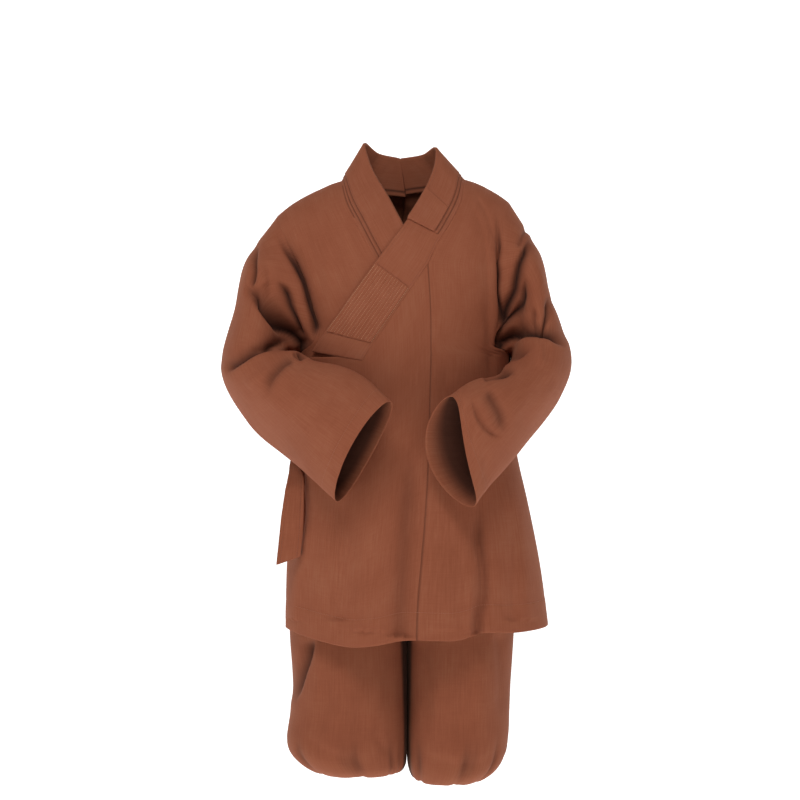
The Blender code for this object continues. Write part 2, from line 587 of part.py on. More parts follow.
def collar_grid(edge, band, surface, ends):
    """The collar band's own grid: a row at each station and at the ends of what lies on it,
    a column at each share of its width."""
    stations = np.union1d(edge["station"], ends)
    x, z = (np.interp(stations, edge["station"], edge[c]) for c in "xz")
    y = np.where(stations < 1, body_y(x, z, False), body_y(x, z, True))
    sewn = np.stack([x, y, z], axis=-1) + body_normal(x, y, z) * surface
    free = [smooth(stations, band["station"], band[c]) for c in ("x", "y", "height")]
    free = np.stack(free, axis=-1)
    lies = np.interp(stations, band["station"], band["lies"])[:, None, None]
    straight = sewn[:, None] + (free - sewn)[:, None] * np.array(BAND_COLUMNS)[:, None]
    lying = straight.copy()
    lying[..., 1] = body_y(straight[..., 0], straight[..., 2], True)
    body = body_normal(*np.moveaxis(lying, -1, 0))
    points = straight + (lying + body * surface - straight) * lies
    own = grid_normals(points)
    if np.sum(own * body * lies) < 0:
        own = -own
    normals = own + (body - own) * lies
    normals[0, :, 0] = 0
    normals /= np.linalg.norm(normals, axis=-1, keepdims=True)
    folded = fold_height(lying[..., 0], lying[..., 2], FRONT_FOLDS) * (1 - row_share(lying[..., 2]))
    return {"station": stations, "points": points + normals * folded[..., None] * lies,
            "normals": normals}


def between(at, knots, values):
    """Rows of a grid read between its own rows, along straight lines."""
    k = np.clip(np.searchsorted(knots, at, side="right") - 1, 0, len(knots) - 2)
    t = ((at - np.take(knots, k)) / (np.take(knots, k + 1) - np.take(knots, k)))[:, None, None]
    return values[k] * (1 - t) + values[k + 1] * t


def collar_piece(name, collar, span, share, faces, material, relief=None):
    """A piece of the collar: the band, or what lies on it, moved out from the band's points."""
    own = collar["station"]
    inside = own[(own > span[0] + 0.01) & (own < span[1] - 0.01)]
    stations = np.concatenate([[span[0]], inside, [span[1]]])
    points, normals = (between(stations, own, collar[c]) for c in ("points", "normals"))
    points, normals = (between(np.array(share), BAND_COLUMNS, v.transpose(1, 0, 2)).transpose(1, 0, 2)
                       for v in (points, normals))
    out = np.full(points.shape[:2], faces[0])
    if relief is not None:
        out = out + relief
    wall(name, points + normals * out[..., None], points + normals * faces[1], material)


def side_edge(panel, low, reverse=False):
    """A panel's start edge from a row up to the shoulder, as x and z, top first."""
    keep = all_rows() >= low - 1e-6
    x, z = panel["x"][keep, 0][::-1], panel["z"][keep, 0][::-1]
    return (x[::-1], z[::-1]) if reverse else (x, z)


def leg(name, levels, side, material):
    """Half of the trousers: a half oval at the hips that closes into a tube at the crotch."""
    index = np.array(LEG_ROWS, dtype=float)
    read = {c: smooth(index, np.arange(len(levels[c])), levels[c])[:, None]
            for c in LEG_COLUMNS.split()}
    turn = np.linspace(0, 1, LEG_COLUMNS_ROUND)
    down = np.clip((RISE_TOP_Z - read["height"]) / (RISE_TOP_Z - CROTCH_Z), 0, 1)
    closed = 1 - np.sqrt(1 - down**2)
    half_depth = np.where(turn < 0.5, read["front"], read["back"])
    hips = (read["outer"] * np.sin(math.pi * turn), -half_depth * np.cos(math.pi * turn))
    middle, reach = (read["outer"] + read["inner"]) / 2, (read["outer"] - read["inner"]) / 2
    tube = (middle - reach * np.cos(2 * math.pi * turn), -half_depth * np.sin(2 * math.pi * turn))
    x, y = (h + (t - h) * closed for h, t in zip(hips, tube))
    z = np.broadcast_to(read["height"], x.shape)
    points = np.stack([x, y, z], axis=-1)
    for column, sign in ((0, -1), (-1, 1)):
        points[:, column, 0] += side * LEG_SPLIT * (1 - closed[:, 0])
        points[:, column, 1] += sign * LEG_SPLIT * closed[:, 0]
    normals = grid_normals(points)
    centre = np.stack([middle[:, 0], np.zeros(len(index)), read["height"][:, 0]], axis=-1)
    if np.sum(normals * (points - centre[:, None])) < 0:
        normals = -normals
    seam = (normals[:, 0] + normals[:, -1]) / 2
    for column in (0, -1):
        open_seam = normals[:, column] * (0, 1, 1)
        normals[:, column] = open_seam + (seam - open_seam) * closed
    normals /= np.linalg.norm(normals, axis=-1, keepdims=True)
    wall(name, points, points - normals * WALL, material)


def waistband(material):
    turn = np.linspace(0, 2 * math.pi, WAISTBAND_COLUMNS, endpoint=False)
    half, depth = RIGHT_LEG["outer"][0], RIGHT_LEG["front"][0]
    rows = np.linspace(WAISTBAND[1], WAISTBAND[0], 3)[:, None] * np.ones(len(turn))
    rings = []
    for cut in (0, WALL):
        x = (abs(half) - cut) * np.cos(turn) + 0 * rows
        y = (depth - cut) * np.sin(turn) + 0 * rows
        rings.append(np.stack([x, y, rows], axis=-1))
    wall("waistband", *rings, material, round_u=True)


def tie_tail(name, back, share, material):
    """A flat end of the tie, hanging from the knot."""
    at = np.linspace(0, share, TIE_ROWS)
    length = np.linspace(0, 1, len(TIE_END["x"]))
    read = {c: smooth(at, length, TIE_END[c])[:, None] for c in TIE_END}
    side = np.array([-1.0, 0.0, 1.0]) * read["half"]
    x = read["x"] + side * np.cos(read["turn"])
    y = read["y"] - side * np.sin(read["turn"]) + back
    z = read["z"] + side * read["drop"] / read["half"]
    out = np.stack([-np.sin(read["turn"]), -np.cos(read["turn"]), 0 * read["turn"]], axis=-1)
    outer = np.stack([x, y, z], axis=-1)
    wall(name, outer, outer - out * TIE_THICKNESS, material)


def tie_knot(material):
    """The knot: a low round swelling on the overlap's edge."""
    even = np.sin(np.linspace(-1, 1, KNOT_COLUMNS) * math.pi / 2)
    across, up = np.meshgrid(even, even)
    x = KNOT["x"].mean() + across * np.ptp(KNOT["x"]) / 2
    z = KNOT["height"].mean() + up * np.ptp(KNOT["height"]) / 2
    dome = (np.maximum(1 - across**2, 0) * np.maximum(1 - up**4, 0)) ** 0.4
    outer = lay(x, z, KNOT_FACES[0] + KNOT_RISE * dome)
    inner = lay(x, z, np.full(x.shape, KNOT_FACES[1]))
    wall("tie_knot", outer, inner, material)


def build():
    for thing in list(bpy.data.objects):
        bpy.data.objects.remove(thing)
    robe = cloth_material("robe_cotton", (0.26, 0.085, 0.040), 0.85)
    band = cloth_material("collar_cotton", (0.28, 0.095, 0.046), 0.85)
    trousers = cloth_material("trouser_cotton", (0.24, 0.078, 0.037), 0.85)

    left_edge = seam_angles(joined(CENTRE_SEAM, LEFT_NECKLINE), True, SEAM_ANGLE)
    right_edge = seam_angles(joined(UNDER_EDGE, RIGHT_NECKLINE), True)
    left_centre = seam_angles(back_start(LEFT_NECKLINE["x"][-1]), False, SEAM_ANGLE)
    right_centre = seam_angles(back_start(RIGHT_NECKLINE["x"][-1]), False, -SEAM_ANGLE)
    left_side = side_angles(LEFT_ARMHOLE, 1, SEAM_ANGLE)
    right_side = side_angles(RIGHT_ARMHOLE, -1, SEAM_ANGLE)
    left_front = body_panel("left_front", FRONT_COLUMNS, left_edge, left_side, True, 0.0, robe)
    right_front = body_panel("right_front", FRONT_COLUMNS, right_edge, right_side, True, UNDER_LAYER, robe)
    left_back = body_panel("left_back", BACK_COLUMNS, left_centre, left_side, False, back_height, robe)
    right_back = body_panel("right_back", BACK_COLUMNS, right_centre, right_side, False, back_height, robe)
    overlap = overlap_panel(robe)
    sleeve("left_sleeve", left_front, left_back, LEFT_SLEEVE, LEFT_SLEEVE_FOLDS, robe)
    sleeve("right_sleeve", right_front, right_back, RIGHT_SLEEVE, RIGHT_SLEEVE_FOLDS, robe)

    neck_row = BACK_NECKLINE["row"][0]
    diagonal = (overlap["x"][-1, :DIAGONAL_COLUMNS], overlap["z"][-1, :DIAGONAL_COLUMNS])
    over = collar_stations(side_edge(left_back, neck_row, True),
                           side_edge(left_front, CENTRE_SEAM_ROW), diagonal)
    under = collar_stations(side_edge(right_back, neck_row, True),
                            side_edge(right_front, UNDER_BAND_ROW))
    over_ends = (LAYERS_END["over"], *PATCH, *QUILTED)
    collars = {"over": collar_grid(over, OVER_BAND, BAND_SURFACE["over"], over_ends),
               "under": collar_grid(under, UNDER_BAND, BAND_SURFACE["under"], LAYERS_END["under"])}
    for side, end in BANDS_END.items():
        collar_piece(f"collar_{side}_band", collars[side], (CENTRE_BACK_GAP, end),
                     BAND_COLUMNS, BAND_FACES, band)
        layers = (CENTRE_BACK_GAP, LAYERS_END[side])
        collar_piece(f"collar_{side}_middle_layer", collars[side], layers,
                     BAND_COLUMNS[1:], MIDDLE_FACES, band)
        collar_piece(f"collar_{side}_top_layer", collars[side], layers,
                     BAND_COLUMNS[2:], TOP_FACES, band)
    collar_piece("collar_patch", collars["over"], PATCH, BAND_COLUMNS[2:], PATCH_FACES, band)
    rib = np.arange(3 * QUILT_RIBS + 1)
    ribs = np.where(rib % 3 == 0, 0, QUILT_RIB_HEIGHT)
    quilt_share = QUILT_EDGE + (1 - 2 * QUILT_EDGE) * rib / rib[-1]
    collar_piece("collar_quilting", collars["over"], QUILTED, quilt_share, QUILT_FACES, band, ribs)

    tie_knot(robe)
    tie_tail("tie_front_end", 0.0, 1.0, robe)
    tie_tail("tie_back_end", *BACK_TIE_END, robe)
    leg("trousers_right_leg", RIGHT_LEG, -1, trousers)
    leg("trousers_left_leg", LEFT_LEG, 1, trousers)
    waistband(trousers)


build()
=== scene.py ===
# A monk's cross-over robe jacket and loose trousers of red-brown cotton, dressed on the frame.
import math

import bmesh
import bpy
import numpy as np
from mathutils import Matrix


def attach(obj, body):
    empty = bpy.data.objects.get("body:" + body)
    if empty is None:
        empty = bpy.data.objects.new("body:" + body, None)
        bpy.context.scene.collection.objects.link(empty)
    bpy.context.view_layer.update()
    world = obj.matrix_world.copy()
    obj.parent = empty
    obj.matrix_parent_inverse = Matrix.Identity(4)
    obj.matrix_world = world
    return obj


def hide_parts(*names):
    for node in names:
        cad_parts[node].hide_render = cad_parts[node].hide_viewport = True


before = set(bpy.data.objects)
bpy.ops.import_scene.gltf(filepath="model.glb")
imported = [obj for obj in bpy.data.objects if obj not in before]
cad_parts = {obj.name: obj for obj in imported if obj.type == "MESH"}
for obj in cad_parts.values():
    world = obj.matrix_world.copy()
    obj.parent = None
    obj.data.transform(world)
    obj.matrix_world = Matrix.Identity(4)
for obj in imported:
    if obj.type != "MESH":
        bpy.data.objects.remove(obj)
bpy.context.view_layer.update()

print("frame loaded,", len(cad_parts), "nodes")

mm = 0.001

cloth = {
    "thickness": 1.3 * mm,       # of one layer with its weave
    "underLayer": -0.0054,       # how far the under front lies inside the outer front
}


def table(columns, rows):
    # a short table as a dictionary of columns
    values = np.array(rows, dtype=float)
    return {name: values[:, i] for i, name in enumerate(columns.split())}


def readSmooth(at, knots, values):
    # a table read along a smooth curve: cubics whose slopes at the knots are mean slopes
    knots = np.asarray(knots, dtype=float)
    values = np.asarray(values, dtype=float)
    slopes = np.gradient(values, knots, axis=0)
    at = np.clip(np.asarray(at, dtype=float), knots[0], knots[-1])
    k = np.clip(np.searchsorted(knots, at, side="right") - 1, 0, len(knots) - 2)
    step = knots[k + 1] - knots[k]
    t = (at - knots[k]) / step
    grow = (slice(None),) * np.ndim(at) + (None,) * (values.ndim - 1)
    t, step = t[grow], step[grow]
    return ((2 * t**3 - 3 * t**2 + 1) * values[k] + (t**3 - 2 * t**2 + t) * step * slopes[k]
            + (3 * t**2 - 2 * t**3) * values[k + 1] + (t**3 - t**2) * step * slopes[k + 1])


def ease(share):
    # 0 to 1 with level ends
    share = np.clip(share, 0, 1)
    return share * share * (3 - 2 * share)


def fineLine(line, count):
    # a short line of x and height read again at many places along a smooth curve
    chord = np.append(0, np.hypot(np.diff(line["x"]), np.diff(line["height"])).cumsum())
    at = np.linspace(0, chord[-1], count)
    return {name: readSmooth(at, chord, line[name]) for name in ("x", "height")}


def gridNormals(points, closedRound=False):
    # normals of a grid, from its neighbours along both ways
    if closedRound:
        across = np.roll(points, -1, axis=1) - np.roll(points, 1, axis=1)
    else:
        across = np.gradient(points, axis=1)
    normals = np.cross(np.gradient(points, axis=0), across)
    return normals / np.maximum(np.linalg.norm(normals, axis=-1, keepdims=True), 1e-12)


# The camera stands where the photograph was taken from, and folds are placed as it sees them
eye = {"x": -0.009, "z": -0.400, "distance": 3.44, "lens": 85.05}


def asSeen(points):
    # x and z where the eye sees a point on the plane y = 0
    scale = eye["distance"] / (eye["distance"] + points[..., 1])
    return eye["x"] + (points[..., 0] - eye["x"]) * scale, eye["z"] + (points[..., 2] - eye["z"]) * scale


def foldShapes(x, z, folds):
    # each fold is a bell round its line, -depth * exp(-(distance / width) ^ sharpness), with
    # its own width to the left and right of the line's run, and it fades out at its ends; the
    # painted shade is the share of a deep fold's shade painted into the cloth's colour, in a bell 0.75 as
    # wide
    height, paintedShade = np.zeros(np.shape(x)), np.zeros(np.shape(x))
    for fold in folds:
        rough = np.array(fold["line"], dtype=float) * mm
        chord = np.append(0, np.hypot(*np.diff(rough, axis=0).T).cumsum())
        line = readSmooth(np.linspace(0, chord[-1], 3 * len(rough)), chord, rough)
        nearest, side, place = np.full(x.shape, 9.0), np.zeros(x.shape), np.zeros(x.shape)
        start = 0
        for a, b in zip(line[:-1], line[1:]):
            run = b - a
            length = np.hypot(*run)
            along = np.clip(((x - a[0]) * run[0] + (z - a[1]) * run[1]) / length**2, 0, 1)
            offX, offZ = x - a[0] - along * run[0], z - a[1] - along * run[1]
            away = np.hypot(offX, offZ)
            nearer = away < nearest
            nearest = np.where(nearer, away, nearest)
            side = np.where(nearer, run[0] * offZ - run[1] * offX, side)
            place = np.where(nearer, start + along * length, place)
            start += length
        width = np.where(side > 0, fold["left"], fold["right"]) * mm
        share = place / start
        ends = fold.get("fade", (0.3, 0.3))
        taper = ease(share / max(ends[0], 1e-6)) * ease((1 - share) / max(ends[1], 1e-6))
        bell = np.exp(-(nearest / width) ** fold.get("sharp", 2.0))
        height -= fold["depth"] * mm * bell * taper
        # painted shade: folds deeper than 4 mm darken the cloth's colour, scaled by the fold's shade factor
        dark = np.clip((fold["depth"] - 4) / 10, 0, 1) * fold.get("shade", 1.0)
        paintedShade = np.maximum(paintedShade, dark * np.exp(-(nearest / (0.75 * width)) ** 1.5) * taper)
    return height, paintedShade


def foldHeight(x, z, folds):
    return foldShapes(x, z, folds)[0]


def unevenness(u, v, seed, shortest, longest, spread, waves=16):
    # a sum of plane waves of random phase, each as high as it is long, up to a height of 1 for
    # the longest; spread turns their crests away from v
    draw = np.random.default_rng(seed)
    total = np.zeros(np.shape(u))
    for _ in range(waves):
        length = shortest * (longest / shortest) ** draw.random()
        turn = (draw.random() - 0.5) * 2 * spread
        phase = draw.random() * 2 * math.pi
        across = u * math.cos(turn) + v * math.sin(turn)
        total += length / longest * np.sin(2 * math.pi * across / length + phase)
    return total / math.sqrt(waves / 2)


def puckers(distance, along, pitch, height, reach):
    # small gathers beside a seam: waves along it that die away from it
    wave = np.sin(2 * math.pi * along / pitch) + 0.6 * np.sin(2 * math.pi * along / (pitch * 1.7) + 1)
    return height * wave * np.exp(-(distance / reach) ** 2)


def clothPiece(name, outer, thickness, material, closedRound=False, turn=1, inner=None, paintedShade=None,
               paintedInnerShade=None):
    # one layer of cloth: its outer points and the same points moved in, joined round the edges
    # by a rim that bulges out by half the thickness; paintedShade is shade painted into the colour
    # of the outer face, in deep folds and beside seams and steps, and paintedInnerShade that of the inner
    # face
    normals = gridNormals(outer, closedRound) * turn
    if inner is None:
        inner = outer - normals * thickness
    rows, columns = outer.shape[:2]
    index = np.arange(rows * columns).reshape(rows, columns)
    across = np.linalg.norm(np.diff(outer, axis=1), axis=2).mean(axis=0)
    along = np.linalg.norm(np.diff(outer, axis=0), axis=2).mean(axis=1)
    u = np.append(0, across.cumsum())
    v = np.append(0, along.cumsum())
    uv = np.stack(np.broadcast_arrays(u, v[:, None]), axis=-1).reshape(-1, 2)
    if closedRound:
        around = u[-1] + np.linalg.norm(outer[:, 0] - outer[:, -1], axis=1).mean()
        index = np.concatenate([index, index[:, :1]], axis=1)
        rims = [(index[0, :-1], index[1, :-1]), (index[-1, :-1], index[-2, :-1])]
    else:
        around = None
        edge = np.concatenate([index[0, :-1], index[:-1, -1], index[-1, :0:-1], index[:0:-1, 0]])
        ahead = np.clip(np.arange(rows), 1, rows - 2)[:, None] * columns + np.clip(np.arange(columns), 1,
                                                                                   columns - 2)
        rims = [(edge, ahead.ravel()[edge])]
    under = index + rows * columns
    quads = [np.stack([index[:-1, :-1], index[1:, :-1], index[1:, 1:], index[:-1, 1:]], axis=-1),
             np.stack([under[:-1, :-1], under[:-1, 1:], under[1:, 1:], under[1:, :-1]], axis=-1)]
    flatOuter, flatInner = outer.reshape(-1, 3), inner.reshape(-1, 3)
    points, uvs = [flatOuter, flatInner], [uv, uv]
    paintedShade = np.zeros(rows * columns) if paintedShade is None else paintedShade.ravel()
    paintedInnerShade = paintedShade if paintedInnerShade is None else paintedInnerShade.ravel()
    paintedShades = [paintedShade, paintedInnerShade]
    count = 2 * rows * columns
    for edge, ahead in rims:
        away = flatOuter[edge] - flatOuter[ahead]
        away /= np.maximum(np.linalg.norm(away, axis=1, keepdims=True), 1e-9)
        thick = np.linalg.norm(flatOuter[edge] - flatInner[edge], axis=1, keepdims=True)
        points.append((flatOuter[edge] + flatInner[edge]) / 2 + away * thick * 0.5)
        uvs.append(uv[edge])
        paintedShades.append(paintedShade[edge])
        middle = count + np.arange(len(edge))
        count += len(edge)
        for near, far in ((edge, middle), (middle, edge + rows * columns)):
            quads.append(np.stack([near, np.roll(near, -1), np.roll(far, -1), far], axis=-1))
    points, uvs = np.concatenate(points), np.concatenate(uvs)
    faces = np.concatenate([q.reshape(-1, 4) for q in quads])
    mesh = bpy.data.meshes.new(name)
    mesh.from_pydata(points.tolist(), [], faces.tolist())
    shape = bmesh.new()
    shape.from_mesh(mesh)
    bmesh.ops.recalc_face_normals(shape, faces=shape.faces)
    shape.to_mesh(mesh)
    shape.free()
    corners = np.empty(len(mesh.loops), dtype=np.int32)
    mesh.loops.foreach_get("vertex_index", corners)
    cornerUv = uvs[corners].reshape(-1, 4, 2)
    if around:
        wrapped = cornerUv[..., 0].max(axis=1, keepdims=True) - cornerUv[..., 0] > around / 2
        cornerUv[..., 0] += wrapped * around
    mesh.uv_layers.new(name="cut").data.foreach_set("uv", cornerUv.ravel())
    # the painted shade of each point, which darkens the material's colour
    shade = mesh.attributes.new("paintedShade", "FLOAT", "POINT")
    shade.data.foreach_set("value", np.concatenate(paintedShades).astype(np.float32))
    mesh.shade_smooth()
    mesh.materials.append(material)
    piece = bpy.data.objects.new(name, mesh)
    bpy.context.scene.collection.objects.link(piece)
    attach(piece, "root")
    area = np.linalg.norm(np.cross(outer[1:, :-1] - outer[:-1, :-1], outer[:-1, 1:] - outer[:-1, :-1]),
                          axis=-1).sum()
    print(name, "area", round(float(area), 4), "m2, size",
          np.round((outer.reshape(-1, 3).max(axis=0) - outer.reshape(-1, 3).min(axis=0)), 3).tolist(),
          len(mesh.polygons) * 2, "triangles")
    return piece


sewing = {"pitch": 3.2 * mm, "length": 2.6 * mm, "width": 0.8 * mm, "lift": 0.3 * mm}


def stitches(name, paths, material, width=1.0):
    # rows of thread, each stitch a low bar with a raised middle, along paths of points and normals
    corners, faces = [], []
    for points, normals in paths:
        steps = np.linalg.norm(np.diff(points, axis=0), axis=1)
        chord = np.append(0, steps.cumsum())
        middles = np.arange(sewing["pitch"] / 2, chord[-1], sewing["pitch"])
        read = [np.stack([np.interp(middles + s * sewing["length"] / 2, chord,
                                    points[:, i]) for i in range(3)], -1)
                for s in (-1, 0, 1)]
        up = np.stack([np.interp(middles, chord, normals[:, i]) for i in range(3)], axis=-1)
        up /= np.linalg.norm(up, axis=1, keepdims=True)
        side = np.cross(read[2] - read[0], up)
        side *= sewing["width"] * width / 2 / np.maximum(np.linalg.norm(side, axis=1, keepdims=True), 1e-9)
        sunk, high = up * -0.3 * sewing["lift"], up * sewing["lift"]
        bar = np.stack([read[0] + sunk, read[1] - side, read[1] + side, read[1] + high, read[2] + sunk,
                        read[1] - up * sewing["lift"]], axis=1)
        start = sum(len(c) for c in corners)
        base = start + np.arange(len(middles))[:, None, None] * 6
        corners.append(bar.reshape(-1, 3))
        pattern = np.array([(0, 3, 1), (0, 2, 3), (4, 1, 3), (4, 3, 2), (0, 1, 5), (0, 5, 2), (4, 5, 1),
                            (4, 2, 5)])
        faces.append((base + pattern).reshape(-1, 3))
    mesh = bpy.data.meshes.new(name)
    mesh.from_pydata(np.concatenate(corners).tolist(), [], np.concatenate(faces).tolist())
    mesh.shade_smooth()
    mesh.materials.append(material)
    piece = bpy.data.objects.new(name, mesh)
    bpy.context.scene.collection.objects.link(piece)
    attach(piece, "root")
    print(name, len(mesh.polygons), "triangles")
    return piece


# The jacket's body is an oval at each height that rounds over under the line of the shoulders
body = {
    "roundness": 2.2,     # exponent of the oval, 2 is an ellipse
    "armpit": -0.320,
    "chest": -0.220,         # above this the panels round over the shoulders
    "oval": table("height right left front back", [
        (-0.840, -0.219, 0.264, 0.168, 0.172),
        (-0.690, -0.216, 0.244, 0.163, 0.164),
        (-0.580, -0.209, 0.222, 0.158, 0.152),
        (-0.500, -0.203, 0.204, 0.153, 0.143),
        (-0.400, -0.197, 0.193, 0.147, 0.136),
        (-0.315, -0.197, 0.1915, 0.140, 0.132),
        (-0.220, -0.222, 0.207, 0.133, 0.128),
        (-0.120, -0.256, 0.236, 0.126, 0.124),
        (0.020, -0.284, 0.264, 0.122, 0.120),
    ]),
    "shoulder": table("x height", [
        (-0.320, -0.190), (-0.286, -0.138), (-0.259, -0.088), (-0.235, -0.062), (-0.209, -0.041),
        (-0.184, -0.025), (-0.158, -0.013), (-0.118, 0.003), (-0.060, 0.010), (0.060, 0.010),
        (0.107, 0.001), (0.133, -0.008), (0.158, -0.020), (0.184, -0.037), (0.205, -0.056),
        (0.222, -0.074), (0.260, -0.130),
    ]),
    "frontHem": table("x height", [
        (-0.219, -0.808), (-0.176, -0.817), (-0.140, -0.824), (-0.098, -0.830), (-0.050, -0.826),
        (-0.006, -0.817), (0.050, -0.817), (0.090, -0.817), (0.132, -0.806), (0.190, -0.808),
        (0.262, -0.806),
    ]),
    "backHem": table("x height", [
        (-0.219, -0.808), (-0.140, -0.816), (0.000, -0.822), (0.160, -0.816), (0.264, -0.806),
    ]),
    "hemDepth": 48 * mm,
}


def bodyOval(z):
    # middle and half width of the oval at a height
    right = readSmooth(z, body["oval"]["height"], body["oval"]["right"])
    left = readSmooth(z, body["oval"]["height"], body["oval"]["left"])
    return (left + right) / 2, (left - right) / 2


def shoulderHeight(x):
    return readSmooth(x, body["shoulder"]["x"], body["shoulder"]["height"])


def ovalRest(x, z):
    # what is left of the depth: (1 - across ^ roundness) * (1 - up ^ roundness)
    middle, half = bodyOval(z)
    across = np.abs((x - middle) / half)
    up = np.maximum((z - body["chest"]) / (shoulderHeight(x) - body["chest"]), 0)
    return (1 - across ** body["roundness"]) * (1 - up ** body["roundness"])


def bodyDepth(z, front):
    return readSmooth(z, body["oval"]["height"], body["oval"]["front" if front else "back"])


def bodyY(x, z, front):
    depth = bodyDepth(z, front) * np.maximum(ovalRest(x, z), 0) ** (1 / body["roundness"])
    return -depth if front else depth


def bodyNormal(x, y, z):
    # slope of (|y| / depth) ^ roundness - rest, which is zero on the surface
    def level(x, y, z):
        depth = np.where(y < 0, bodyDepth(z, True), bodyDepth(z, False))
        return np.abs(y / depth) ** body["roundness"] - ovalRest(x, z)
    d = 0.5 * mm
    slope = np.stack([level(x + d, y, z) - level(x - d, y, z), level(x, y + d, z) - level(x, y - d, z),
                      level(x, y, z + d) - level(x, y, z - d)], axis=-1)
    return slope / np.linalg.norm(slope, axis=-1, keepdims=True)


def hemHeight(x, front):
    hem = body["frontHem" if front else "backHem"]
    return readSmooth(x, hem["x"], hem["height"])


def rowHeight(x, row, front):
    # row 0 is the hem, 1 the armpit, 2 the shoulder line
    hem, armpit = hemHeight(x, front), body["armpit"]
    top = np.sin(np.clip(row - 1, 0, 1) * math.pi / 2)
    return np.where(row < 1, hem + (armpit - hem) * row, armpit + (shoulderHeight(x) - armpit) * top)


def rowAt(x, z, front):
    # the reverse of rowHeight
    hem, armpit = hemHeight(x, front), body["armpit"]
    top = np.clip((z - armpit) / (shoulderHeight(x) - armpit), 0, 1)
    return np.where(z < armpit, (z - hem) / (armpit - hem), 1 + np.arcsin(top) * 2 / math.pi)


def angleAt(x, z):
    # angle round the oval from its front, or from its back, to the side
    middle, half = bodyOval(z)
    across = np.clip((x - middle) / half, -1, 1)
    return np.arctan2(across, (1 - np.abs(across) ** body["roundness"]) ** (1 / body["roundness"]))


def acrossAt(angle):
    # share of the half width at an angle round the oval
    s, c = np.sin(angle), np.cos(angle)
    return s / (np.abs(s) ** body["roundness"] + np.abs(c) ** body["roundness"]) ** (1 / body["roundness"])


